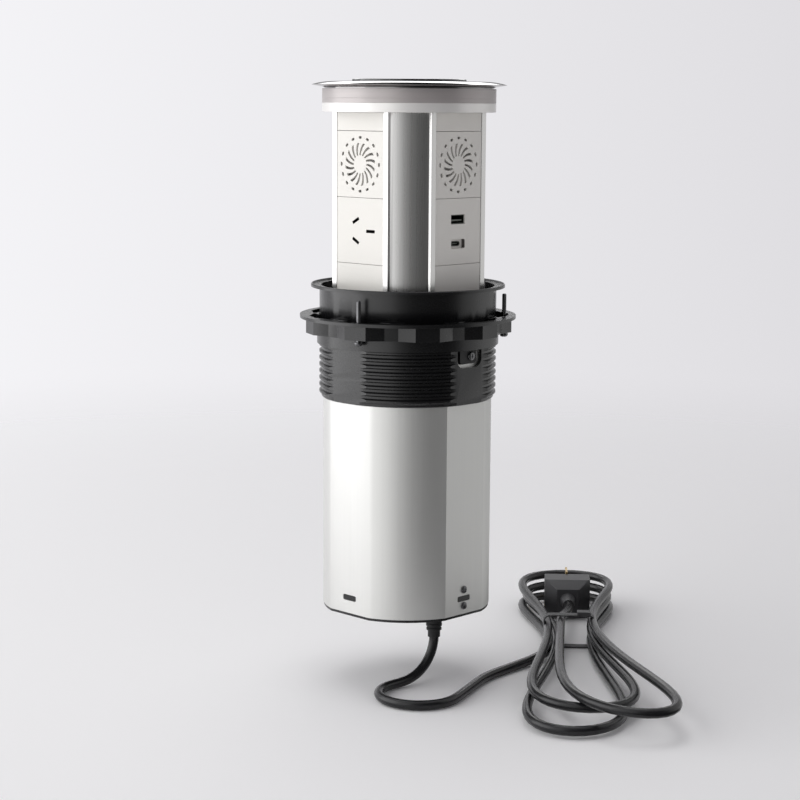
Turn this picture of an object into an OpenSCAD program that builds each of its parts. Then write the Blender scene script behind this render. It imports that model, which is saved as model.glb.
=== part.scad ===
// Motorised pop-up desk socket: a square power tower that rises out of a round body hung in a desk hole.
// Millimetres. Z = 0 is the desk top, under the collar's flange, Z points up, and the tower is raised.
// The -Y face has a speaker and a mains socket, the +X face a speaker and the USB ports.

/* [Lift] */
// Height that the tower rises
travel = 136.3; // [125:0.1:140]
// Depth of the tower's foot below the desk top when raised
tower_sink = 36; // [35:0.5:44]
// Height of the drive compartment under the lowered tower
drive_room = 53.3; // [52:0.1:70]
// Thickness of the carriage plate at the tower's foot
carriage_t = 8; // [5:0.5:9]
// Diameter of the lead screw
screw_d = 8; // [6:0.5:9]
// Tooth module of the drive gears
gear_module = 1; // [0.95:0.01:1.1]
// Teeth on the motor pinion
pinion_teeth = 14; // [13:1:16]
// Teeth on the screw gear
gear_teeth = 36; // [34:2:40]
// Width of the gears
gear_w = 6; // [4:0.5:7]
// Diameter of the lift motor's gearbox
motor_d = 25; // [20:0.5:26]

/* [Lid and head] */
// Diameter of the tower's head under the lid
head_d = 120.4; // [119:0.1:126]
// Height of the light ring
light_h = 9.7; // [8:0.1:11]
// Height of the cap ring under the light ring
cap_ring_h = 6.3; // [6:0.1:8]
// Rise of the lid's top above its edge
lid_crown = 3; // [2.6:0.1:5]
// Diameter of the charging pad
pad_d = 79; // [70:0.5:90]
// Height that the pad stands above the lid
pad_proud = 1; // [0.5:0.1:2]

/* [Tower] */
// Overhang of the head beyond each tower face
head_overhang = 12.6; // [11.7:0.1:13.2]
// Width of each face across its two lips
face_w = 54; // [53:0.2:55]
// Width of each aluminium lip
lip_w = 4.4; // [3.6:0.1:4.6]
// Depth of the step beside each face
step_h = 2.1; // [1.5:0.1:2.8]
// Height of a module panel
module_h = 45; // [44:0.5:47]
// Height of the filler panels above the modules
top_filler_h = 12.6; // [8:0.1:16]

/* [Collar] */
// Wall of the collar beside its bore
collar_wall = 1.2; // [1:0.1:2]
// Length of the collar below the desk top
collar_l = 77.4; // [72:0.1:90]
// Width of the flange outside the collar
flange_w = 6; // [4:0.1:10]
// Thickness of the flange
flange_h = 2.2; // [1.8:0.1:4]
// Pitch of the collar's thread
thread_pitch = 4.7; // [4:0.1:6]
// Depth of the collar's thread
thread_depth = 1.6; // [1:0.1:2]

/* [Body] */
// Wall of the body tube
tube_wall = 2; // [1.5:0.1:2.5]
// Depth of the tube's four flats
tube_flat_in = 3; // [2:0.1:3.6]

/* [Clamp ring] */
// Depth of the ring's top below the desk top
ring_drop = 19.5; // [17:0.1:30]
// Radial width of the ring
ring_w = 13.25; // [12:0.05:18]
// Thickness of the ring's rim
rim_t = 2.2; // [1.5:0.1:3]
// Height of the grip lugs with the rim
lug_h = 11.9; // [10:0.1:16]
// Number of grip lugs, three of which carry screws
lug_count = 9; // [6:3:12]
// Height of the threaded hub
hub_h = 20; // [18:0.1:24]
// Diameter of the clamp screws
clamp_screw_d = 3; // [2.5:0.1:4]
// Depth of the clamp screws' tips below the desk top
clamp_tip = 5; // [4.5:0.1:12]

/* [Grille] */
// Number of swirl slots and of dots
grille_count = 16; // [12:1:20]
// Radius of the ring of dots
dot_ring_r = 18.1; // [17:0.1:18.6]
// Width of a swirl slot at its outer end
swirl_w = 2.1; // [1.4:0.1:2.4]
// Width of a swirl slot at its inner end
swirl_neck = 1.2; // [0.8:0.1:1.4]
// Angle that a swirl slot sweeps
swirl_sweep = 15; // [5:1:22]

/* [Cord] */
// Diameter of the mains cord
cord_d = 6.8; // [6.4:0.1:7]
// Depth of the surface that the cord lies on, below the desk top
floor_drop = 280; // [280:1:282]
// Length of the strain relief outside the base
boot_l = 20; // [19:0.5:20]

/* [Hidden] */
$fn = 96;

// Clearances
lid_gap = 0.5;
bore_gap = 0.6;
tube_fit = 0.15;
run_gap = 0.3;
guide_gap = 0.35;
seat_gap = 0.2;
panel_gap = 0.15;
shaft_fit = 0.05;
eps = 0.01;

// Colours
black_plastic = [0.06, 0.06, 0.065];
white_plastic = [0.93, 0.93, 0.92];
aluminium = [0.74, 0.74, 0.73];
steel = [0.62, 0.63, 0.65];
brass = [0.78, 0.6, 0.28];
board_green = [0.1, 0.32, 0.18];

// Radii, from the head outwards and from the collar inwards
head_r = head_d / 2;
bore_r = head_r + bore_gap;
collar_r = bore_r + collar_wall;
flange_r = collar_r + flange_w;
lid_inset = 0.4;
lid_r = flange_r - lid_inset;
thread_proud = 0.2;
thread_r = collar_r + thread_proud;
root_r = thread_r - thread_depth;
root_wall = 1.15;
tube_r = root_r - root_wall - tube_fit;
tube_flat = tube_r - tube_flat_in;
flat_wall = 2.85;
collar_flat = tube_flat + tube_fit + flat_wall;
tube_in_r = tube_r - tube_wall;
tube_in_flat = tube_flat - tube_wall;

// Tower section
face_d = head_r - head_overhang;
face_half = face_w / 2;
step_d = face_d - step_h;
corner_r = norm([step_d, face_half]);
slot_half = face_half - lip_w;
lip_t = 1.6;
lip_back = face_d - lip_t;
channel_half = face_half - 1.1;
ledge_t = 1.9;
channel_back = lip_back - 3.1;
panel_inset = 0.3;
panel_d = face_d - panel_inset;
panel_half = slot_half - seat_gap;
tongue_half = channel_half - run_gap;
tongue_front = lip_back - panel_gap;
tongue_back = channel_back + panel_gap;

// Heights
lid_edge_z = flange_h + lid_gap + travel;
lid_drop = 2.4;
light_top = lid_edge_z - lid_drop;
light_bottom = light_top - light_h;
cap_bottom = light_bottom - cap_ring_h;
upper_top = cap_bottom - top_filler_h;
lower_top = upper_top - module_h;
lower_bottom = lower_top - module_h;
speaker_z = upper_top - module_h / 2;
socket_z = lower_top - module_h / 2;
carriage_bottom = -tower_sink;
post_bottom = carriage_bottom + carriage_t;
guide_bottom = post_bottom + run_gap;
guide_top = cap_bottom - travel - 1.5;
tube_top = guide_bottom - run_gap;
body_bottom = -(tower_sink + travel + drive_room);
floor_z = -floor_drop;

// Lid and head
lid_top = lid_edge_z + lid_crown;
lid_edge_t = 0.2;
lid_dome_w = 14.5;
pad_r = pad_d / 2;
pad_sink = 2;
pad_seat = lid_top - pad_sink;
lid_floor_t = 2;
lid_hole_r = pad_r - 6.5;
neck_r = head_r - 1.4;
neck_z = light_top + 0.8;
light_wall = 3.2;
skirt_r = head_r - 8.2;
skirt_t = 2;
cap_plate_t = 3;
cap_plate_top = cap_bottom + cap_plate_t;
wire_hole_r = 12;
board_t = 1.6;
coil_t = 2;
coil_r = 22;
shield_t = 0.8;
pillar_h = 3.4;
pillar_ring_r = 30;
post_bolt = (skirt_r - skirt_t - 3.3) * cos(45);
post_bolt_r = 1.5;

// Collar window, lock tab and tube slots
window_half = 12;
window_top = guide_bottom - 8;
window_bottom = window_top - 16.3;
window_round = 6;
notch_half = 9.5;
notch_bottom = window_bottom + 2.2;
tab_half = notch_half - seat_gap;
tab_round = 4;
lock_screw_u = 3;
lock_screw_z = window_bottom + 7.6;
side_slot_w = 12.5;
side_slot_h = 4;
side_slot_z = body_bottom + 10.9;
side_screw_rise = 6.4;
side_screw_drop = 5.1;

// Drive
cap_edge_t = 1.9;
cap_floor_t = 2;
cap_wall = 3.4;
skirt_top = body_bottom + 21.6;
bracket_t = 2.5;
bracket_top = skirt_top + bracket_t;
bracket_bolt_r = tube_in_r - cap_wall / 2 - seat_gap;
screw_r = screw_d / 2;
bearing_r = screw_r + 4;
bearing_h = 5;
bearing_wall = 2.5;
low_bearing_z = body_bottom + 1.5;
up_bearing_z = skirt_top + 1;
screw_top = post_bottom + 4;
gear_gap = 3;
gear_z = skirt_top - gear_gap - gear_w;
pitch_angle = 25;
gear_backlash = 0.22;
gear_axes = gear_module * (pinion_teeth + gear_teeth) / 2;
motor_r = motor_d / 2;
gearbox_h = 20;
motor_h = 31;
motor_hole_r = motor_r + 1;
motor_shaft_r = 3;
nut_flange_r = screw_r + 6;
nut_flange_t = 3.5;
nut_sleeve_r = screw_r + 1.2;
nut_sleeve_h = carriage_t + 2;
boot_x = 28;
boot_neck_r = 5.3;

// Clamp ring
ring_fit = 0.35;
ring_bore_r = thread_r + ring_fit;
hub_wall = 1.2;
hub_r = ring_bore_r + hub_wall;
ring_r = ring_bore_r + ring_w;
ring_top = -ring_drop;
lug_r = ring_r - 2.9;
lug_wall = 2;
recess_r = hub_r + 3.75;
lug_bottom = ring_top - lug_h;
pocket_floor = lug_bottom + lug_wall;
hub_bottom = ring_top - hub_h;
lug_angle = 360 / lug_count;
lug_turn = -75;
clamp_r = hub_r + (lug_r - lug_wall - hub_r) * 0.55;
clamp_head_gap = 1.5;
clamp_head_h = 2.6;
clamp_screw_r = clamp_screw_d / 2;
clamp_nut_h = 2.4;

// Mains socket slots: two angled blades and the earth blade
blade_x = 6.86;
blade_y = 3.96;
earth_y = 10.31;
blade_w = 6.35;
blade_t = 1.6;
blade_l = 17;
blade_tilt = 30;
slot_play = 0.25;
earth_play = 0.95;

// Speaker, as radius and distance from the tower's axis
speaker_r = 20;
grille_t = 1.5;
cone_gap = 0.3;
cone_r = speaker_r - 3;

// Cord route, from the strain relief's end to the hank, in the order that it runs
lead_route = [[28, 0, -247.5], [28, 0, -249.5], [27.8, -1.3, -256.7], [27.1, -5.6, -264.9],
    [26, -12.3, -271.4], [24.6, -20.5, -275.4], [23.2, -29.6, -276.6], [22.2, -38.9, -276.6],
    [24, -48, -276.6], [28.8, -56, -276.6], [35.9, -61.9, -276.6], [44.6, -65.2, -276.6],
    [53.9, -65.4, -276.6], [62.7, -62.4, -276.6], [70, -56.8, -276.6], [75.1, -49, -276.6],
    [77.3, -40, -276.6], [76.4, -30.7, -276.6], [73.1, -22, -276.6], [69.8, -13.3, -276.6],
    [66.4, -4.6, -276.6], [63, 4.1, -276.6], [59.7, 12.8, -276.6], [56.6, 21.6, -276.6],
    [54.8, 30.7, -276.6], [53.6, 40, -276.6], [52.8, 49.3, -276.6], [52.1, 58.6, -276.6],
    [51.4, 67.9, -276.5], [50.7, 77.2, -276.3], [49.7, 86.5, -276], [48.3, 95.7, -275.7],
    [45.9, 104.7, -275.4]];

// Hank: loops drawn in at the waist, each on its own layer, near loops fanned out
hank_pos = [40, 139];
hank_yaw = 42;
hank_turns = 3;
hank_rings = 24;
hank_lift = 1.4;
hank_layer = cord_d + 0.9;
hank_step = cord_d + 0.8;
hank_waist = 9;
hank_lobe = 74;
far_reach = [140, 146, 152];
near_reach = [222, 196, 230];
near_lean = [-8, 4, 40];
tail_l = 58;
tail_rings = 6;
hank_z = floor_z + cord_d / 2 + hank_lift;
plug_half_w = 18;
plug_h = 30;
plug_body_l = 30;
plug_boot_l = 12;
plug_z = floor_z + plug_h / 2 + 0.5;
plug_y = tail_l + cord_d;
tie_w = 8;
tie_t = 1;
tie_gap = 0.6;

// Curves and sweeps
function unit(v) = v / norm(v);
function spoke(r, a) = r * [cos(a), sin(a)];
function across(v, t) = unit(v - (v * t) * t);
function last(list) = list[len(list) - 1];
function ease(x) = x <= 0 ? 0 : x >= 1 ? 1 : (1 - cos(180 * x)) / 2;
function tangent(path, i) =
    unit(path[min(i + 1, len(path) - 1)] - path[max(i - 1, 0)]);
function tube_rings(path, r, sides, side0) =
    [for (i = 0, s = across(side0, tangent(path, 0)); i < len(path);
        i = i + 1, s = across(s, tangent(path, min(i, len(path) - 1))))
        let (t = tangent(path, i), u = cross(s, t))
        [for (k = [0:sides - 1]) path[i] + r * (cos(360 * k / sides) * s + sin(360 * k / sides) * u)]];

module tube(path, r, sides, side0) {
    rings = tube_rings(path, r, sides, side0);
    count = len(rings);
    points = [for (ring = rings) for (p = ring) p];
    walls = [for (i = [0:count - 2]) for (k = [0:sides - 1])
        let (m = (k + 1) % sides, a = i * sides, b = a + sides)
        each [[a + k, a + m, b + m], [a + k, b + m, b + k]]];
    start_cap = [for (k = [1:sides - 2]) [0, k + 1, k]];
    base = (count - 1) * sides;
    end_cap = [for (k = [1:sides - 2]) [base, base + k, base + k + 1]];
    polyhedron(points, concat(walls, start_cap, end_cap));
}

// Hank path in its own frame: X to the right, Y away from the near loops
function hank_turn(t) = min(floor(t), hank_turns - 1);
function hank_spread(t) = hank_step * abs(t % 2 - 1);
function hank_climb(t) =
    [for (k = 1, h = 0; k < hank_turns + 1; h = h + ease((t - k + 0.25) * 2), k = k + 1) h];
function hank_rise(t) = hank_layer * last(hank_climb(t));
function hank_point(t) =
    let (n = hank_turn(t), s = sin(360 * t), near = near_reach[n],
        y = s > 0 ? s * far_reach[n] : s * near,
        lean = s < 0 ? near_lean[n] * pow(y / near, 2) : 0)
    [lean - cos(360 * t) * (hank_waist + hank_spread(t) + hank_lobe * s * s), y, hank_z + hank_rise(t)];
hank_start = hank_point(0);
hank_end = hank_point(hank_turns);
function tail_point(x) =
    [hank_end[0] * (1 - ease(x)), tail_l * x, hank_end[2] + (plug_z - hank_end[2]) * ease(x)];
function hank_path(per_turn, per_tail) = concat(
    [hank_start - [0, cord_d, 0]],
    [for (i = [0:per_turn * hank_turns]) hank_point(i / per_turn)],
    [for (i = [1:per_tail]) tail_point(i / per_tail)],
    [[0, plug_y, plug_z]]);
function to_floor(p) = [
    hank_pos[0] + p[0] * cos(hank_yaw) - p[1] * sin(hank_yaw),
    hank_pos[1] + p[0] * sin(hank_yaw) + p[1] * cos(hank_yaw), p[2]];
lead_path = concat(lead_route, [for (k = [3, 1]) to_floor(hank_start - [0, k * cord_d, 0])]);

// Least gap of the hank to itself, between points at least a tenth of a turn apart
gap_rate = 60;
gap_path = hank_path(gap_rate, 12);
gap_skip = gap_rate / 10;
hank_gap = min([for (i = [0:len(gap_path) - 1]) for (j = [i + gap_skip:1:len(gap_path) - 1])
    norm(gap_path[i] - gap_path[j])]) - cord_d;
echo(str("least gap of the hank to itself, mm: ", hank_gap));  // cord_hank

// Gear outline with involute flanks
function involute(base_r, r) =
    let (a = acos(min(1, base_r / r))) tan(a) * 180 / PI - a;
function gear_points(teeth) =
    let (pitch_r = gear_module * teeth / 2, base_r = pitch_r * cos(pitch_angle),
        tip_r = pitch_r + 0.9 * gear_module, root_r = pitch_r - 1.2 * gear_module,
        half = 90 / teeth - gear_backlash / pitch_r * 90 / PI, flank_r = max(base_r, root_r),
        radii = [for (i = [0:4]) flank_r + (tip_r - flank_r) * i / 4],
        lean = [for (r = radii) half + involute(base_r, pitch_r) - involute(base_r, r)],
        profile = concat([[root_r, lean[0]]], [for (i = [0:4]) [radii[i], lean[i]]]))
    [for (k = [0:teeth - 1]) each concat(
        [for (i = [0:5]) spoke(profile[i][0], 360 * k / teeth - profile[i][1])],
        [for (i = [5:-1:0]) spoke(profile[i][0], 360 * k / teeth + profile[i][1])])];

// Shared shapes
module face(turn) { rotate(turn) children(); }
module outward(d, z) { translate([0, -d, z]) rotate([90, 0, 0]) children(); }
module four_flats(r, flat) { intersection() { circle(r); square(2 * flat, center = true); } }
module rounded(w, h, r) {
    square([w - 2 * r, h], center = true);
    square([w, h - 2 * r], center = true);
    for (x = [-1, 1], y = [-1, 1]) translate([x * (w / 2 - r), y * (h / 2 - r)]) circle(r, $fn = 32);
}
module ring(r_out, r_in, z0, z1) {
    translate([0, 0, z0]) linear_extrude(z1 - z0) difference() { circle(r_out); circle(r_in); }
}
module cross_head(r, h, recess) {
    difference() {
        rotate_extrude($fn = 48)
            polygon([[0, 0], [r, 0], [r, h * 0.45], [r * 0.8, h * 0.85], [r * 0.45, h], [0, h]]);
        for (a = [0, 90]) rotate(a) translate([0, 0, h]) cube([r * 1.1, r * 0.28, recess * 2], center = true);
    }
}
module tower_outline(grow) {
    intersection() { circle(corner_r + grow); square(2 * (step_d + grow), center = true); }
    square([2 * (face_d + grow), 2 * (face_half + grow)], center = true);
    square([2 * (face_half + grow), 2 * (face_d + grow)], center = true);
}

// Body and collar
module mounting_collar() {
    thread_from = -collar_l + 3.9;
    thread_to = guide_bottom - 5;
    ridge_count = floor((thread_to - thread_from) / thread_pitch);
    ridges = [for (k = [0:ridge_count]) let (z = thread_from + k * thread_pitch)
        each [[root_r, z - 1.6], [thread_r, z - 0.6], [thread_r, z + 0.6], [root_r, z + 1.6]]];
    flat_top = guide_bottom - 2;
    dish = 1.2;
    color(black_plastic) difference() {
        rotate_extrude() polygon(concat(
            [[0, -collar_l], [root_r - 0.6, -collar_l], [root_r, -collar_l + 0.8]], ridges,
            [[root_r, guide_bottom - 3], [collar_r, guide_bottom - 1.6], [collar_r, 0], [flange_r, 0],
            [flange_r, flange_h - 0.7], [flange_r - 0.5, flange_h], [flange_r - 1.1, flange_h],
            [flange_r - 1.4, flange_h - dish], [0, flange_h - dish]]));
        translate([0, 0, guide_bottom]) cylinder(h = flange_h - guide_bottom, r = bore_r);
        translate([0, 0, -collar_l - 1]) linear_extrude(collar_l + guide_bottom + 1 + eps)
            four_flats(tube_r + tube_fit, tube_flat + tube_fit);
        for (a = [0:90:270]) face(a)
            translate([-collar_r, -2 * collar_r, -collar_l - 1])
                cube([2 * collar_r, 2 * collar_r - collar_flat, collar_l + flat_top + 1]);
        face(90) outward(tube_flat - 1, 0) linear_extrude(collar_r)
            window_2d(window_half, window_bottom, window_round);
    }
}
module window_2d(half, bottom, round) {
    top = window_top - bottom;
    translate([0, bottom + top / 2 + round / 2]) square([2 * half, top - round], center = true);
    translate([0, bottom + round / 2]) square([2 * (half - round), round], center = true);
    for (x = [-1, 1]) translate([x * (half - round), bottom + round]) circle(round, $fn = 48);
}
module guide_ring() {
    color(black_plastic) translate([0, 0, guide_bottom])
        linear_extrude(guide_top - guide_bottom) difference() {
            circle(bore_r - seat_gap);
            tower_outline(guide_gap);
        }
}
module body_tube() {
    notch_h = tube_top - notch_bottom;
    color(aluminium) difference() {
        translate([0, 0, body_bottom]) linear_extrude(tube_top - body_bottom) difference() {
            four_flats(tube_r, tube_flat);
            four_flats(tube_in_r, tube_in_flat);
        }
        for (a = [0:90:270]) face(a) outward(tube_in_flat - 1, side_slot_z)
            linear_extrude(tube_wall + 2) rounded(side_slot_w, side_slot_h, 1);
        for (z = [side_slot_z + side_screw_rise, side_slot_z - side_screw_drop])
            face(90) outward(tube_in_flat - 1, z) cylinder(h = tube_wall + 2, r = 1.65, $fn = 32);
        face(90) outward(tube_in_flat - 1, 0) linear_extrude(tube_wall + 2) {
            translate([-notch_half, notch_bottom + tab_round]) square([2 * notch_half, notch_h]);
            translate([-notch_half + tab_round, notch_bottom])
                square([2 * (notch_half - tab_round), notch_h]);
            for (x = [-1, 1]) translate([x * (notch_half - tab_round), notch_bottom + tab_round])
                circle(tab_round, $fn = 48);
        }
    }
}
module lock_tab() {
    tab_bottom = notch_bottom + seat_gap;
    boss_out = 1.6;
    color(black_plastic) face(90) difference() {
        union() {
            outward(tube_in_flat + run_gap, 0) linear_extrude(tube_wall - run_gap) {
                translate([-tab_half, tab_bottom + tab_round])
                    square([2 * tab_half, tube_top - tab_bottom - tab_round]);
                translate([-tab_half + tab_round, tab_bottom])
                    square([2 * (tab_half - tab_round), tab_round]);
                for (x = [-1, 1]) translate([x * (tab_half - tab_round), tab_bottom + tab_round])
                    circle(tab_round, $fn = 48);
            }
            outward(tube_flat - eps, lock_screw_z) linear_extrude(boss_out) rounded(16, 10, 2);
        }
        outward(tube_in_flat, lock_screw_z) translate([lock_screw_u, 0, -1])
            cylinder(h = 9, r = 1.6, $fn = 32);
    }
}
module housing_screws() {
    head_r = 3.2;
    head_h = 1.9;
    tab_face = tube_flat + 1.6 - eps;
    color(steel) {
        face(90) translate([lock_screw_u, 0, 0]) outward(tab_face, lock_screw_z) {
            cross_head(head_r, head_h - 0.4, 0.8);
            translate([0, 0, tube_in_flat + run_gap - tab_face])
                cylinder(h = tab_face - tube_in_flat, r = 1.55, $fn = 32);
        }
        for (z = [side_slot_z + side_screw_rise, side_slot_z - side_screw_drop])
            face(90) outward(tube_flat, z) {
                cross_head(head_r * 0.85, head_h * 0.7, 0.6);
                translate([0, 0, -tube_wall - 3]) cylinder(h = tube_wall + 3 + eps, r = 1.5, $fn = 32);
            }
        for (a = [45:90:315]) rotate(a) translate([bracket_bolt_r, 0, bracket_top]) {
            cross_head(1.6, 1.2, 0.5);
            translate([0, 0, -bracket_t - 5]) cylinder(h = bracket_t + 5 + eps, r = 1, $fn = 32);
        }
    }
}
module base_cap() {
    in_r = tube_in_r - seat_gap;
    in_flat = tube_in_flat - seat_gap;
    color(black_plastic) difference() {
        union() {
            translate([0, 0, body_bottom - cap_edge_t]) linear_extrude(cap_edge_t)
                four_flats(tube_r - 0.4, tube_flat - 0.4);
            translate([0, 0, body_bottom]) linear_extrude(cap_floor_t) four_flats(in_r, in_flat);
            translate([0, 0, body_bottom]) linear_extrude(skirt_top - body_bottom) difference() {
                four_flats(in_r, in_flat);
                four_flats(in_r - cap_wall, in_flat - cap_wall);
            }
            translate([0, 0, body_bottom])
                cylinder(h = low_bearing_z + bearing_h - body_bottom, r = bearing_r + bearing_wall);
            for (a = [0:90:270]) face(a) outward(in_flat - 1, side_slot_z)
                linear_extrude(tube_wall + 1)
                    rounded(side_slot_w - 2 * seat_gap, side_slot_h - 2 * seat_gap, 0.8);
        }
        translate([0, 0, low_bearing_z]) cylinder(h = bearing_h + 1, r = bearing_r + shaft_fit);
        translate([boot_x, 0, body_bottom - cap_edge_t - 1])
            cylinder(h = 9, r = boot_neck_r + shaft_fit, $fn = 48);
        for (z = [side_slot_z + side_screw_rise, side_slot_z - side_screw_drop])
            face(90) outward(in_flat - cap_wall - 1, z) cylinder(h = cap_wall + 2, r = 1.55, $fn = 32);
        for (a = [45:90:315]) rotate(a) translate([bracket_bolt_r, 0, skirt_top - 6])
            cylinder(h = 7, r = 1 + shaft_fit, $fn = 32);
    }
}
module bracket_plate() {
    boss_r = bearing_r + bearing_wall;
    color(steel) difference() {
        union() {
            translate([0, 0, skirt_top]) linear_extrude(bracket_t)
                four_flats(tube_in_r - run_gap, tube_in_flat - run_gap);
            translate([0, 0, skirt_top]) cylinder(h = up_bearing_z + bearing_h - skirt_top, r = boss_r);
        }
        translate([0, 0, up_bearing_z]) cylinder(h = bearing_h + 1, r = bearing_r + shaft_fit);
        translate([0, 0, skirt_top - 1]) cylinder(h = 9, r = screw_r + 0.5);
        translate([-gear_axes, 0, skirt_top - 1])
            cylinder(h = bracket_t + 2, r = motor_shaft_r + 1, $fn = 48);
        translate([boot_x + 10, 18, skirt_top - 1]) cylinder(h = bracket_t + 2, r = 6, $fn = 48);
        for (a = [45:90:315]) rotate(a) translate([bracket_bolt_r, 0, skirt_top - 1])
            cylinder(h = bracket_t + 2, r = 1.2, $fn = 32);
    }
}
module gear_motor() {
    color([0.5, 0.51, 0.53]) translate([-gear_axes, 0, bracket_top]) rotate_extrude() polygon([
        [0, 0], [motor_r, 0], [motor_r, gearbox_h], [motor_r - 0.8, gearbox_h],
        [motor_r - 0.8, gearbox_h + motor_h - 1],
        [motor_r - 1.8, gearbox_h + motor_h], [5, gearbox_h + motor_h], [5, gearbox_h + motor_h + 2],
        [0, gearbox_h + motor_h + 2]]);
}
module screw_bearings() {
    color(steel) for (z = [low_bearing_z, up_bearing_z]) translate([0, 0, z]) rotate_extrude() polygon([
        [screw_r + shaft_fit, 0], [bearing_r, 0], [bearing_r, bearing_h], [bearing_r - 1.4, bearing_h],
        [bearing_r - 1.6, bearing_h - 0.5], [screw_r + 1.6, bearing_h - 0.5], [screw_r + 1.4, bearing_h],
        [screw_r + shaft_fit, bearing_h]]);
}
module control_board() {
    x = tube_in_flat - 22.3;
    color(board_green) translate([x, -20, bracket_top]) {
        cube([board_t, 40, 23]);
        translate([-14, 3, 5]) cube([14 + eps, 18, 14]);
        translate([-9, 24, 0]) cube([9 + eps, 12, 10]);
        for (y = [28, 36]) translate([-8, y, 17]) rotate([0, 90, 0]) cylinder(h = 8 + eps, r = 3.5, $fn = 32);
    }
}
module limit_switch() {
    lever_top = carriage_bottom - travel - 1;
    y = tube_in_flat - 18.3;
    color([0.12, 0.12, 0.14]) translate([-10, y, bracket_top]) {
        cube([20, 6.4, lever_top - bracket_top - 6]);
        translate([2, 2.2, 0]) cube([3, 2, lever_top - bracket_top - 2]);
        translate([2, 1.7, lever_top - bracket_top - 2]) cube([16, 3, 0.6]);
    }
}
module strain_relief() {
    neck_l = cap_edge_t + cap_floor_t;
    top = body_bottom + cap_floor_t;
    rib_count = 5;
    rib_gap = boot_l / (rib_count + 1.5);
    ribs = [for (k = [0:rib_count - 1]) let (z = -neck_l - 1 - k * rib_gap, r = 6.6 - 0.3 * k)
        each [[r, z], [r, z - rib_gap * 0.55], [r - 1, z - rib_gap * 0.6], [r - 1, z - rib_gap * 0.95]]];
    color(black_plastic) translate([boot_x, 0, top]) rotate_extrude($fn = 48) polygon(concat(
        [[0, 2], [7.4, 2], [7.4, 0], [boot_neck_r, 0], [boot_neck_r, -neck_l], [6.6, -neck_l]], ribs,
        [[4.4, -neck_l - boot_l], [0, -neck_l - boot_l]]));
}

// Cord
module cord_lead() { color(black_plastic) tube(lead_path, cord_d / 2, 8, [0, 1, 0]); }
module on_floor() { translate([hank_pos[0], hank_pos[1], 0]) rotate(hank_yaw) children(); }
module cord_hank() {
    color(black_plastic) on_floor() tube(hank_path(hank_rings, tail_rings), cord_d / 2, 6, [0, 0, 1]);
}
module cord_tie() {
    left = hank_start[0] - cord_d / 2 - tie_t - tie_gap;
    right = hank_waist + hank_step / 2 + cord_d / 2 + tie_t + tie_gap;
    top = hank_end[2] + cord_d / 2 + tie_t + tie_gap;
    w = right - left;
    h = top - floor_z;
    color(black_plastic) on_floor() translate([(left + right) / 2, tie_w / 2, (top + floor_z) / 2])
        rotate([90, 0, 0]) linear_extrude(tie_w) difference() {
            union() {
                rounded(w, h, 5);
                translate([w / 2 - 9, h / 2]) square([10, 5], center = true);
            }
            rounded(w - 2 * tie_t, h - 2 * tie_t, 4);
        }
}
module mains_plug() {
    body_y = plug_y + plug_boot_l;
    color(black_plastic) on_floor() translate([0, 0, plug_z]) {
        translate([0, plug_y, 0]) rotate([-90, 0, 0]) rotate_extrude($fn = 48) polygon([
            [0, 0], [4.2, 0], [4.6, 2], [4.2, 3], [5, 5], [4.6, 6], [5.6, 8], [5.2, 9], [6.4, plug_boot_l],
            [6.4, plug_boot_l + 2], [0, plug_boot_l + 2]]);
        hull() for (s = [-1, 1]) {
            translate([s * (plug_half_w - 4), body_y + plug_body_l - 10, 0])
                linear_extrude(plug_h, center = true)
                rounded(8, 20, 2);
            translate([s * 6, body_y + 3, 0]) linear_extrude(plug_h * 0.62, center = true) rounded(8, 6, 2);
        }
    }
}
module blades_2d(play, long_play) {
    for (s = [-1, 1]) translate([s * blade_x, blade_y]) rotate(s * blade_tilt)
        square([blade_t + 2 * play, blade_w + 2 * play], center = true);
    translate([0, -earth_y]) square([blade_t + 2 * play, blade_w + 2 * long_play], center = true);
}
module plug_pins() {
    face_y = plug_y + plug_boot_l + plug_body_l;
    color(brass) on_floor() translate([0, face_y, plug_z + (earth_y - blade_y) / 2])
        rotate([-90, 0, 0]) linear_extrude(blade_l) blades_2d(0, 0);
}

// Lid and head
module lid_shell() {
    dome_h = lid_crown - lid_edge_t;
    dome_r = (pow(lid_dome_w, 2) + pow(dome_h, 2)) / (2 * dome_h);
    dome_angle = asin(lid_dome_w / dome_r);
    rim = [for (k = [0:6]) let (a = dome_angle * k / 6)
        [lid_r - lid_dome_w + dome_r * sin(a), lid_top - dome_r * (1 - cos(a))]];
    color([0.9, 0.9, 0.92]) rotate_extrude($fn = 128) polygon(concat(
        [[lid_hole_r, pad_seat - lid_floor_t], [lid_hole_r, pad_seat], [pad_r + seat_gap, pad_seat],
        [pad_r + seat_gap, lid_top]], rim,
        [[lid_r, lid_edge_z], [neck_r, neck_z], [neck_r, light_top], [skirt_r, light_top],
        [skirt_r, cap_plate_top],
        [skirt_r - skirt_t, cap_plate_top], [skirt_r - skirt_t, pad_seat - lid_floor_t]]));
}
module charging_pad() {
    top = lid_top + pad_proud;
    color([0.03, 0.03, 0.035]) rotate_extrude($fn = 128) polygon([
        [0, pad_seat], [pad_r, pad_seat], [pad_r, top - 0.5], [pad_r - 0.5, top], [0, top]]);
}
module charging_coil() { color([0.72, 0.4, 0.2]) ring(coil_r, 8, pad_seat - coil_t, pad_seat); }
module coil_shield() {
    color([0.25, 0.25, 0.26]) translate([0, 0, pad_seat - coil_t - shield_t])
        cylinder(h = shield_t, r = coil_r + 2);
}
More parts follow.
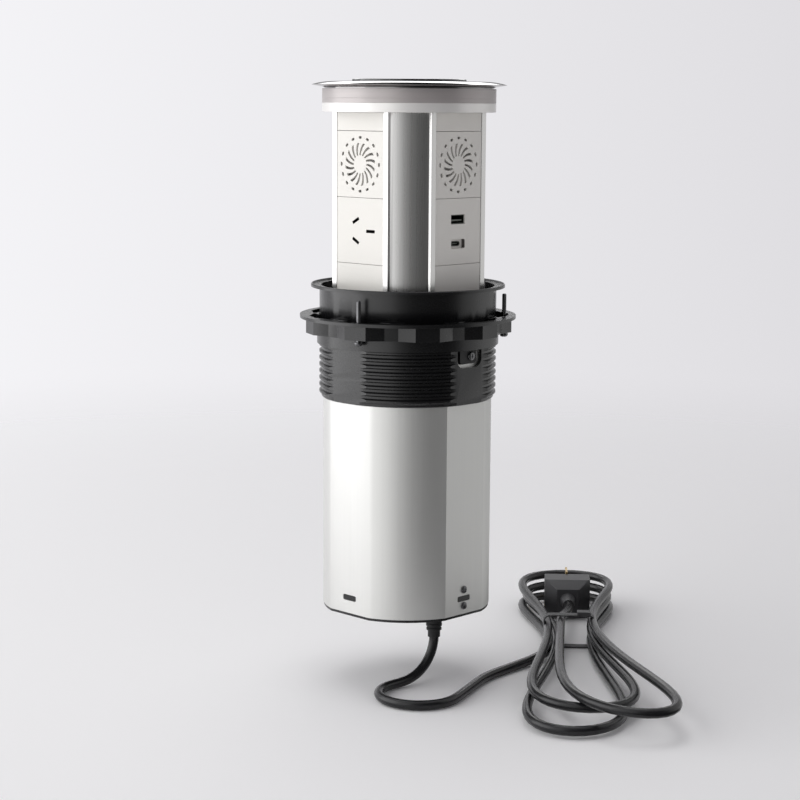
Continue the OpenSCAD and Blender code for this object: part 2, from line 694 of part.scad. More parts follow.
module charger_board() {
    z = cap_plate_top + pillar_h;
    color(board_green) {
        ring(pillar_ring_r + 8, 6, z, z + board_t);
        translate([-16, -8, z + board_t - eps]) cube([9, 9, 2]);
        translate([10, 5, z + board_t - eps]) cube([8, 6, 3]);
        for (a = [30:60:330]) rotate(a) translate([26, 0, z + board_t - eps])
            cylinder(h = 3.5, r = 3, $fn = 32);
    }
}
module light_ring() {
    color([0.86, 0.83, 0.83, 0.85]) ring(head_r, head_r - light_wall, light_bottom, light_top);
}
module led_board() {
    out_r = head_r - light_wall - 2 * seat_gap;
    in_r = skirt_r + 2 * seat_gap;
    color(board_green) {
        ring(out_r, in_r, cap_plate_top, cap_plate_top + board_t);
        for (a = [0:15:345]) rotate(a) translate([out_r - 2.2, -1.4, cap_plate_top + board_t - eps])
            cube([1.6, 2.8, 1.6]);
    }
}
module head_ring() {
    color(white_plastic) difference() {
        union() {
            rotate_extrude($fn = 128) polygon([[wire_hole_r, cap_bottom], [head_r, cap_bottom],
                [head_r, light_bottom],
                [head_r - light_wall, light_bottom], [head_r - light_wall, cap_plate_top],
                [wire_hole_r, cap_plate_top]]);
            for (a = [0:120:240]) rotate(a) translate([pillar_ring_r, 0, cap_plate_top - eps])
                cylinder(h = pillar_h + eps, r = 3, $fn = 32);
        }
        for (x = [-1, 1], y = [-1, 1]) translate([x * post_bolt, y * post_bolt, cap_bottom - 1])
            cylinder(h = cap_plate_t + 2, r = post_bolt_r + 0.2, $fn = 32);
    }
}

// Tower
module post_2d() {
    difference() {
        intersection() {
            tower_outline(0);
            translate([slot_half, slot_half]) square(2 * face_d);
        }
        difference() {
            union() {
                square([lip_back, channel_half]);
                square([channel_half, lip_back]);
            }
            translate([channel_back - ledge_t, channel_half - 2.4]) square([ledge_t, 4]);
            translate([channel_half - 2.4, channel_back - ledge_t]) square([4, ledge_t]);
        }
        translate([post_bolt, post_bolt]) circle(post_bolt_r, $fn = 32);
        for (s = [0, 1]) mirror([s, -s, 0]) translate([post_bolt + 4.6, channel_half + 3.6])
            circle(2.4, $fn = 32);
    }
}
module corner_post(k) {
    color(aluminium) rotate(90 * k) translate([0, 0, post_bottom]) linear_extrude(cap_bottom - post_bottom)
        post_2d();
}
module corner_post_1() { corner_post(0); }
module corner_post_2() { corner_post(1); }
module corner_post_3() { corner_post(2); }
module corner_post_4() { corner_post(3); }
module post_screws() {
    grip = 8;
    shank_r = post_bolt_r - shaft_fit;
    color(steel) for (x = [-1, 1], y = [-1, 1]) translate([x * post_bolt, y * post_bolt, 0]) {
        translate([0, 0, cap_plate_top]) cross_head(2.8, 2, 0.8);
        translate([0, 0, cap_bottom - grip]) cylinder(h = grip + cap_plate_t + eps, r = shank_r, $fn = 32);
        translate([0, 0, carriage_bottom]) mirror([0, 0, 1]) cross_head(2.8, 2, 0.8);
        translate([0, 0, carriage_bottom - eps]) cylinder(h = grip + carriage_t, r = shank_r, $fn = 32);
    }
}
module carriage() {
    color([0.16, 0.16, 0.17]) translate([0, 0, carriage_bottom]) linear_extrude(carriage_t) difference() {
        four_flats(tube_in_r - run_gap, tube_in_flat - run_gap);
        circle(nut_sleeve_r + shaft_fit);
        translate([-gear_axes, 0]) circle(motor_hole_r);
        translate([gear_axes, 0]) circle(8);
        for (x = [-1, 1], y = [-1, 1]) translate([x * post_bolt, y * post_bolt])
            circle(post_bolt_r + 0.2, $fn = 32);
    }
}
module lift_nut() {
    color(brass) translate([0, 0, carriage_bottom]) rotate_extrude() polygon([
        [screw_r + shaft_fit, -nut_flange_t], [nut_flange_r, -nut_flange_t], [nut_flange_r, 0],
        [nut_sleeve_r, 0],
        [nut_sleeve_r, nut_sleeve_h], [screw_r + shaft_fit, nut_sleeve_h]]);
}
module panel(z0, z1) {
    h = z1 - z0 - 2 * panel_gap;
    translate([-panel_half, -panel_d, z0 + panel_gap])
        cube([2 * panel_half, panel_d - tongue_front + eps, h]);
    translate([-tongue_half, -tongue_front, z0 + panel_gap])
        cube([2 * tongue_half, tongue_front - tongue_back, h]);
}
module top_fillers() { color(white_plastic) for (a = [0:90:270]) face(a) panel(upper_top, cap_bottom); }
module bottom_fillers() {
    color(white_plastic) for (a = [0:90:270]) face(a) panel(post_bottom, lower_bottom);
}
module blank_panel_back() { color(white_plastic) face(180) panel(lower_top, upper_top); }
module blank_panel_left() { color(white_plastic) face(270) panel(lower_top, upper_top); }

// Speakers
module swirl_slot() {
    r_in = 6.1;
    r_out = 14.4;
    bend_r = 12;
    intersection() {
        difference() {
            swirl_edge(r_in, r_out, bend_r, -1);
            swirl_edge(r_in, r_out, bend_r, 1);
        }
        difference() { circle(r_out); circle(r_in); }
        translate([-r_in / 2, r_in / 2]) square([r_out * 0.7, r_out]);
    }
}
module swirl_edge(r_in, r_out, bend_r, side) {
    half_neck = swirl_neck / (2 * r_in) * 180 / PI;
    half_end = swirl_w / (2 * r_out) * 180 / PI;
    from = spoke(r_in, 90 - side * half_neck);
    to = spoke(r_out, 90 - swirl_sweep - side * half_end);
    chord = to - from;
    inward = [chord[1], -chord[0]] / norm(chord);
    translate((from + to) / 2 + inward * sqrt(pow(bend_r, 2) - pow(norm(chord) / 2, 2))) circle(bend_r);
}
module grille_2d() {
    for (k = [0:grille_count - 1]) rotate(360 * k / grille_count) {
        swirl_slot();
        translate([0, dot_ring_r]) stadium(2.9, 1.8);
    }
}
module speaker_panel() {
    color(white_plastic) difference() {
        panel(lower_top, upper_top);
        outward(tongue_back - 1, speaker_z)
            cylinder(h = panel_d - grille_t - tongue_back + 1, r = speaker_r + 2 * seat_gap);
        outward(panel_d - grille_t - 1, speaker_z) linear_extrude(grille_t + 2) grille_2d();
    }
}
module speaker_panel_front() { speaker_panel(); }
module speaker_panel_right() { face(90) speaker_panel(); }
module speaker_frames() {
    front = panel_d - grille_t - seat_gap;
    color([0.1, 0.1, 0.11]) for (a = [0, 90]) face(a) outward(0, speaker_z) rotate_extrude() polygon([
        [cone_r + 2 * cone_gap, front], [speaker_r + seat_gap, front], [speaker_r + seat_gap, front - 1.6],
        [cone_r + 1.6, front - 1.6], [cone_r + 1.6, front - 3.6], [13.5, front - 12.2], [6.9, front - 12.2],
        [6.9, front - 11], [12.6, front - 11], [cone_r + 2 * cone_gap, front - 3.2]]);
}
module speaker_magnets() {
    back = panel_d - grille_t - seat_gap - 12.2;
    color([0.3, 0.3, 0.31]) for (a = [0, 90]) face(a) outward(0, speaker_z) rotate_extrude() polygon([
        [0, back - 9.5], [14, back - 9.5], [14, back], [6.9, back], [6.9, back - 8], [5.6, back - 8],
        [5.6, back + 1],
        [0, back + 1]]);
}
module speaker_cone() {
    front = panel_d - grille_t - 1;
    color([0.05, 0.05, 0.05]) outward(0, speaker_z) rotate_extrude() polygon([
        [0, front - 5.6], [5.5, front - 6.6], [6.4, front - 7], [cone_r, front], [cone_r + cone_gap, front],
        [cone_r + cone_gap, front - 0.8], [6.6, front - 8], [6.6, front - 16], [6.1, front - 16],
        [6.1, front - 7.8],
        [0, front - 6.6]]);
}
module speaker_cone_front() { speaker_cone(); }
module speaker_cone_right() { face(90) speaker_cone(); }

// Mains sockets, turned so that the earth slot points to the right
socket_faces = [0, 180, 270];
socket_back = 24;
module socket_panel() {
    color(white_plastic) difference() {
        panel(lower_bottom, lower_top);
        outward(tongue_back - 1, socket_z) linear_extrude(panel_d) rotate(90)
            blades_2d(slot_play, earth_play);
    }
}
module socket_panel_front() { socket_panel(); }
module socket_panel_back() { face(180) socket_panel(); }
module socket_panel_left() { face(270) socket_panel(); }
module clip_room_2d(grow) {
    for (s = [-1, 1]) translate([s * blade_x, blade_y]) rotate(s * blade_tilt)
        square([5 + 2 * grow, blade_w + 1.2 + 2 * grow], center = true);
    translate([0, -earth_y]) square([5 + 2 * grow, blade_w + 1.2 + 2 * grow], center = true);
}
module socket_bodies() {
    half = 19.5;
    color([0.12, 0.12, 0.13]) for (a = socket_faces) face(a) difference() {
        outward(socket_back, socket_z) linear_extrude(tongue_back - socket_back)
            rounded(2 * half, 2 * half, 3);
        outward(socket_back + 2, socket_z) linear_extrude(tongue_back) rotate(90) clip_room_2d(0);
    }
}
module socket_contacts() {
    leaf = 0.7;
    depth = tongue_back - socket_back - 4;
    color(brass) for (a = socket_faces) face(a) outward(socket_back + 2, socket_z) rotate(90) {
        for (s = [-1, 1]) translate([s * blade_x, blade_y]) rotate(s * blade_tilt) contact(leaf, depth);
        translate([0, -earth_y]) contact(leaf, depth);
    }
}
module contact(leaf, depth) {
    w = blade_w + 0.6;
    half = blade_t / 2 + slot_play + leaf / 2;
    translate([0, 0, leaf / 2]) cube([2 * half + leaf, w, leaf], center = true);
    for (s = [-1, 1]) translate([s * half, 0, depth / 2]) cube([leaf, w, depth], center = true);
}

// USB module
usb_a_z = socket_z + 8.2;
usb_c_z = socket_z - 8.5;
usb_a = [13.6, 6];
usb_c = [8.9, 3.2];
usb_shell = 0.4;
usb_a_front = panel_d - 1.1;
usb_c_front = panel_d - 2.8;
usb_board_d = panel_d - 16.3;
module stadium(w, h) {
    square([w - h, h], center = true);
    for (s = [-1, 1]) translate([s * (w - h) / 2, 0]) circle(h / 2, $fn = 32);
}
module usb_panel() {
    play = 0.2;
    color(white_plastic) face(90) difference() {
        union() {
            panel(lower_bottom, lower_top);
            for (x = [-16, 16], z = [-16, 16]) outward(usb_board_d + board_t, socket_z + z)
                translate([x, 0, 0]) cylinder(h = tongue_back - usb_board_d - board_t + eps, r = 3, $fn = 32);
        }
        outward(tongue_back - 1, usb_a_z) linear_extrude(panel_d)
            square(usb_a + [2, 2] * play, center = true);
        outward(tongue_back - 1, usb_c_z) linear_extrude(panel_d)
            stadium(usb_c[0] + 2 * play, usb_c[1] + 2 * play);
        outward(usb_c_front, usb_c_z) linear_extrude(panel_d)
            rounded(usb_c[0] + 4.6, usb_c[1] + 3.3, 1.2);
    }
}
module usb_a_port() {
    back = usb_board_d + board_t;
    depth = usb_a_front - back;
    color(steel) face(90) outward(back, usb_a_z) {
        linear_extrude(depth) difference() {
            square(usb_a, center = true);
            square(usb_a - 2 * [usb_shell, usb_shell], center = true);
        }
        linear_extrude(1) square(usb_a, center = true);
        translate([0, -usb_a[1] / 4, 0]) linear_extrude(depth - 1)
            square([usb_a[0] - 2.4, 1.9], center = true);
    }
}
module usb_c_port() {
    back = usb_board_d + board_t;
    depth = usb_c_front - back;
    color(steel) face(90) outward(back, usb_c_z) {
        linear_extrude(depth) difference() {
            stadium(usb_c[0], usb_c[1]);
            stadium(usb_c[0] - 2 * usb_shell, usb_c[1] - 2 * usb_shell);
        }
        linear_extrude(1) stadium(usb_c[0], usb_c[1]);
        linear_extrude(depth - 1) square([usb_c[0] - 2.4, 0.7], center = true);
    }
}
module usb_board() {
    color(board_green) face(90) {
        outward(usb_board_d, socket_z) linear_extrude(board_t) square([40, 40], center = true);
        outward(usb_board_d - 5, socket_z) linear_extrude(5 + eps) square([14, 14], center = true);
        outward(usb_board_d - 8, socket_z + 12) linear_extrude(8 + eps) circle(4, $fn = 32);
    }
}

// Drive train
module lead_screw() {
    chamfer = 1;
    color(steel) rotate_extrude() polygon([[0, low_bearing_z], [screw_r, low_bearing_z],
        [screw_r, screw_top - chamfer],
        [screw_r - chamfer, screw_top], [0, screw_top]]);
}
module screw_gear() {
    hub_r = screw_r + 3;
    color([0.88, 0.86, 0.8]) difference() {
        union() {
            translate([0, 0, gear_z]) linear_extrude(gear_w) polygon(gear_points(gear_teeth));
            translate([0, 0, gear_z]) cylinder(h = gear_w + gear_gap - 1, r = hub_r);
        }
        translate([0, 0, gear_z - 1]) cylinder(h = gear_w + gear_gap + 2, r = screw_r + eps);
        for (a = [0:60:300]) rotate(a) translate([gear_module * gear_teeth * 0.3, 0, gear_z - 1])
            cylinder(h = gear_w + 2, r = gear_module * 2.4, $fn = 32);
    }
}
module drive_pinion() {
    color(brass) translate([-gear_axes, 0, 0]) {
        translate([0, 0, gear_z]) rotate(180 / pinion_teeth) linear_extrude(gear_w)
            polygon(gear_points(pinion_teeth));
        translate([0, 0, gear_z + gear_w - eps])
            cylinder(h = bracket_top - run_gap - gear_z - gear_w, r = motor_shaft_r, $fn = 48);
    }
}

// Clamp ring
module lug_outline() {
    face_part = 6.5 / 40;
    flank_part = 16 / 40;
    polygon([for (k = [0:lug_count - 1]) let (a = k * lug_angle + lug_turn) each [
        spoke(recess_r, a - flank_part * lug_angle), spoke(lug_r, a - face_part * lug_angle),
        spoke(lug_r, a + face_part * lug_angle), spoke(recess_r, a + flank_part * lug_angle)]]);
}
module pocket_2d() {
    inner = hub_r + 0.9;
    middle = recess_r - 1.3;
    outer = lug_r - lug_wall;
    wide = 18.8 / 40 * lug_angle;
    narrow = 5.2 / 40 * lug_angle;
    polygon([spoke(inner, -wide), spoke(middle, -wide), spoke(outer, -narrow),
        spoke(outer, narrow), spoke(middle, wide), spoke(inner, wide)]);
}
module clamp_ring() {
    color(black_plastic) difference() {
        union() {
            translate([0, 0, ring_top - rim_t]) cylinder(h = rim_t, r = ring_r);
            translate([0, 0, lug_bottom]) linear_extrude(lug_h - rim_t + eps) lug_outline();
            translate([0, 0, hub_bottom]) cylinder(h = hub_h, r = hub_r);
        }
        translate([0, 0, hub_bottom - 1]) cylinder(h = hub_h + 2, r = ring_bore_r);
        for (k = [0:lug_count - 1]) rotate(k * lug_angle + lug_turn) translate([0, 0, pocket_floor])
            linear_extrude(lug_h) pocket_2d();
        for (k = [0:2]) rotate(120 * k + lug_turn) translate([clamp_r, 0, lug_bottom - 1])
            cylinder(h = lug_wall + 2, r = clamp_screw_r + run_gap, $fn = 32);
    }
}
module clamp_nuts() {
    color(brass) for (k = [0:2]) rotate(120 * k + lug_turn) translate([clamp_r, 0, pocket_floor])
        difference() {
        rotate(30) cylinder(h = clamp_nut_h, r = clamp_screw_r + 1.5, $fn = 6);
        translate([0, 0, -1]) cylinder(h = clamp_nut_h + 2, r = clamp_screw_r + shaft_fit, $fn = 32);
    }
}
module clamp_screw(k) {
    head_top = lug_bottom - clamp_head_gap;
    color([0.2, 0.2, 0.21]) rotate(120 * k + lug_turn) translate([clamp_r, 0, 0]) {
        translate([0, 0, head_top]) mirror([0, 0, 1]) cross_head(clamp_screw_r + 1.4, clamp_head_h, 0.9);
        rotate_extrude($fn = 32) polygon([[0, head_top - eps], [clamp_screw_r, head_top - eps],
            [clamp_screw_r, -clamp_tip - 0.6], [clamp_screw_r - 0.6, -clamp_tip], [0, -clamp_tip]]);
    }
}
module clamp_screw_1() { clamp_screw(0); }
module clamp_screw_2() { clamp_screw(1); }
module clamp_screw_3() { clamp_screw(2); }

mounting_collar();
guide_ring();
body_tube();
base_cap();
lock_tab();
housing_screws();
bracket_plate();
gear_motor();
screw_bearings();
control_board();
limit_switch();
strain_relief();
cord_lead();
cord_hank();
cord_tie();
mains_plug();
plug_pins();
lid_shell();
charging_pad();
charging_coil();
coil_shield();
charger_board();
light_ring();
led_board();
head_ring();
corner_post_1();
corner_post_2();
corner_post_3();
corner_post_4();
post_screws();
carriage();
lift_nut();
top_fillers();
bottom_fillers();
speaker_panel_front();
speaker_panel_right();
speaker_frames();
speaker_magnets();
speaker_cone_front();
speaker_cone_right();
socket_panel_front();
socket_panel_back();
socket_panel_left();
socket_bodies();
socket_contacts();
blank_panel_back();
blank_panel_left();
usb_panel();
usb_a_port();
usb_c_port();
usb_board();
lead_screw();
screw_gear();
drive_pinion();
clamp_ring();
clamp_nuts();
clamp_screw_1();
clamp_screw_2();
clamp_screw_3();
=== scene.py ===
import math

import bmesh
import bpy
from mathutils import Matrix, Vector


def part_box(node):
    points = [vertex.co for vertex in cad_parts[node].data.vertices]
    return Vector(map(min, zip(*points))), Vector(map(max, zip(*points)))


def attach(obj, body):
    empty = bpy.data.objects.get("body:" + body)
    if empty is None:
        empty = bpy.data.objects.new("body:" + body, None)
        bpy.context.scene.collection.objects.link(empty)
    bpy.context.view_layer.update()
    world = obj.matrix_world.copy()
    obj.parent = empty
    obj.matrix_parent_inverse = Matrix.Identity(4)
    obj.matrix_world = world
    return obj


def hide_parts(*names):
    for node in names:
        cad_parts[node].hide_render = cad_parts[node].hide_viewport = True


# Pop-up desk socket: tower raised out of its body, cord tied in a hank on the floor
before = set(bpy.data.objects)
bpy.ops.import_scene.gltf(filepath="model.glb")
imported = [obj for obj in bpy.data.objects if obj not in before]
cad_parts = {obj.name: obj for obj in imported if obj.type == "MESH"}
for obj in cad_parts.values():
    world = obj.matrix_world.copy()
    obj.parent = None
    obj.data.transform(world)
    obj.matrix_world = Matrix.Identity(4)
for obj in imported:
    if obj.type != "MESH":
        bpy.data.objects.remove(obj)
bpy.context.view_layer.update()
scene = bpy.context.scene
mm = 0.001
print("frame loaded, nodes:", len(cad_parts))


# camera, as solved from the photograph: place in metres, angles in degrees, lens and sensor in mm
view = {
    "place": (0.9595, -0.98225, 0.1269),
    "turn": 44.326,  # from the front face towards the right face
    "yaw": -0.217,
    "pitch": 8.609,
    "roll": 0.344,
    "lens": 88.33,
    "sensor": 36,
    "clipEnd": 50,
}


def placeCamera(spec):
    yaw, pitch, roll = (math.radians(spec[k]) for k in ("yaw", "pitch", "roll"))
    ahead = Vector((math.sin(yaw) * math.cos(pitch), math.cos(yaw) * math.cos(pitch), -math.sin(pitch)))
    right = ahead.cross(Vector((0, 0, 1))).normalized()
    up = right.cross(ahead)
    tilted = right * math.cos(roll) + up * math.sin(roll)
    raised = up * math.cos(roll) - right * math.sin(roll)
    spin = Matrix.Rotation(math.radians(spec["turn"]), 3, "Z")
    axes = [spin @ v for v in (tilted, raised, -ahead)]
    data = bpy.data.cameras.new("camera")
    data.lens = spec["lens"]
    data.sensor_width = spec["sensor"]
    data.clip_end = spec["clipEnd"]
    cam = bpy.data.objects.new("camera", data)
    scene.collection.objects.link(cam)
    cam.matrix_world = Matrix.Translation(spec["place"]) @ Matrix(axes).transposed().to_4x4()
    scene.camera = cam


placeCamera(view)
print("camera placed")


# node helpers and the shader groups shared by the finishes
def newGroup(name, kind, inputs, outputs):
    tree = bpy.data.node_groups.new(name, kind)
    for label, socket, value in inputs:
        sock = tree.interface.new_socket(label, in_out="INPUT", socket_type=socket)
        if value is not None:
            sock.default_value = value
    for label, socket in outputs:
        tree.interface.new_socket(label, in_out="OUTPUT", socket_type=socket)
    return tree, tree.nodes.new("NodeGroupInput"), tree.nodes.new("NodeGroupOutput")


def newShaderGroup(name, vector, values, outputs):
    # one vector input, float inputs with their usual values, and float outputs
    inputs = [(vector, "NodeSocketVector", None)] + [(label, "NodeSocketFloat", v) for label, v in values.items()]
    return newGroup(name, "ShaderNodeTree", inputs, [(label, "NodeSocketFloat") for label in outputs])


def mathNode(tree, operation, a, b=None, clamp=False):
    node = tree.nodes.new("ShaderNodeMath")
    node.operation = operation
    node.use_clamp = clamp
    for slot, value in ((0, a), (1, b)):
        if value is None:
            continue
        if isinstance(value, (int, float)):
            node.inputs[slot].default_value = value
        else:
            tree.links.new(value, node.inputs[slot])
    return node.outputs[0]


def shareNode(tree, a, b, share):
    # the given share of a, and the rest of b
    return mathNode(tree, "ADD", mathNode(tree, "MULTIPLY", a, share), mathNode(tree, "MULTIPLY", b, 1 - share))


def waveNode(tree, angle):
    # sine of the angle, brought to 0..1
    return mathNode(tree, "MULTIPLY", mathNode(tree, "ADD", mathNode(tree, "SINE", angle), 1.0), 0.5)


def noiseNode(tree, vector, scale, detail, rough):
    node = tree.nodes.new("ShaderNodeTexNoise")
    node.inputs["Detail"].default_value = detail
    node.inputs["Roughness"].default_value = rough
    if isinstance(scale, (int, float)):
        node.inputs["Scale"].default_value = scale
    else:
        tree.links.new(scale, node.inputs["Scale"])
    tree.links.new(vector, node.inputs["Vector"])
    return node.outputs["Fac"]


def toneNode(tree, tones, factor):
    node = tree.nodes.new("ShaderNodeMix")
    node.data_type = "RGBA"
    node.inputs["A"].default_value = (*tones[0], 1)
    node.inputs["B"].default_value = (*tones[1], 1)
    tree.links.new(factor, node.inputs["Factor"])
    return node.outputs["Result"]


def makeDrawnLines():
    # fine lines along the drawing direction of an extrusion, over a broader streak
    tree, src, out = newShaderGroup("drawnLines", "Vector", {"Fineness": 2600.0, "Length": 9.0}, ["Mask", "Height"])
    fineShare, broadScale = 0.65, 0.12
    split = tree.nodes.new("ShaderNodeSeparateXYZ")
    join = tree.nodes.new("ShaderNodeCombineXYZ")
    tree.links.new(src.outputs["Vector"], split.inputs[0])
    for axis, scale in (("X", "Fineness"), ("Y", "Fineness"), ("Z", "Length")):
        tree.links.new(mathNode(tree, "MULTIPLY", split.outputs[axis], src.outputs[scale]), join.inputs[axis])
    fine = noiseNode(tree, join.outputs[0], 1.0, detail=2.0, rough=0.6)
    broad = noiseNode(tree, join.outputs[0], broadScale, detail=2.0, rough=0.5)
    tree.links.new(shareNode(tree, fine, broad, fineShare), out.inputs["Mask"])
    tree.links.new(fine, out.inputs["Height"])
    return tree


def makeMouldGrain():
    # spark-eroded texture of a moulded face, with a slow change of gloss
    tree, src, out = newShaderGroup("mouldGrain", "Vector", {"Grain": 2200.0, "Patch": 22.0}, ["Mask", "Height"])
    patchShare = 0.7
    grain = noiseNode(tree, src.outputs["Vector"], src.outputs["Grain"], detail=2.0, rough=0.6)
    patch = noiseNode(tree, src.outputs["Vector"], src.outputs["Patch"], detail=4.0, rough=0.55)
    tree.links.new(shareNode(tree, patch, grain, patchShare), out.inputs["Mask"])
    tree.links.new(grain, out.inputs["Height"])
    return tree


def makeHandlingMarks():
    # smudges that only change the gloss and the tone a little
    tree, src, out = newShaderGroup("handlingMarks", "Vector", {"Size": 30.0}, ["Mask"])
    threshold, contrast = 0.42, 3.0
    cloud = noiseNode(tree, src.outputs["Vector"], src.outputs["Size"], detail=5.0, rough=0.6)
    above = mathNode(tree, "SUBTRACT", cloud, threshold)
    tree.links.new(mathNode(tree, "MULTIPLY", above, contrast, True), out.inputs["Mask"])
    return tree


def makeTurnedRings():
    # rings round the Z axis, as on the winding of a flat coil
    tree, src, out = newShaderGroup("turnedRings", "Vector", {"Rings": 1200.0}, ["Mask", "Height"])
    split = tree.nodes.new("ShaderNodeSeparateXYZ")
    tree.links.new(src.outputs["Vector"], split.inputs[0])
    squares = [mathNode(tree, "MULTIPLY", split.outputs[axis], split.outputs[axis]) for axis in ("X", "Y")]
    radius = mathNode(tree, "SQRT", mathNode(tree, "ADD", *squares))
    wave = waveNode(tree, mathNode(tree, "MULTIPLY", radius, src.outputs["Rings"]))
    tree.links.new(wave, out.inputs["Mask"])
    tree.links.new(wave, out.inputs["Height"])
    return tree


def makeCordRidges():
    # lengthwise ridges of an extruded cord sheath, from its own UV map
    tree, src, out = newShaderGroup("cordRidges", "UV", {"Ridges": 9.0}, ["Mask", "Height"])
    ridgeShare, wearScale = 0.35, 14.0
    split = tree.nodes.new("ShaderNodeSeparateXYZ")
    tree.links.new(src.outputs["UV"], split.inputs[0])
    turns = mathNode(tree, "MULTIPLY", split.outputs["X"], src.outputs["Ridges"])
    wave = waveNode(tree, mathNode(tree, "MULTIPLY", turns, 2 * math.pi))
    wear = noiseNode(tree, src.outputs["UV"], wearScale, detail=4.0, rough=0.6)
    tree.links.new(shareNode(tree, wave, wear, ridgeShare), out.inputs["Mask"])
    tree.links.new(wave, out.inputs["Height"])
    return tree


groups = {
    "drawn": makeDrawnLines(),
    "mould": makeMouldGrain(),
    "marks": makeHandlingMarks(),
    "turned": makeTurnedRings(),
    "cord": makeCordRidges(),
}
print("shader groups:", len(groups))


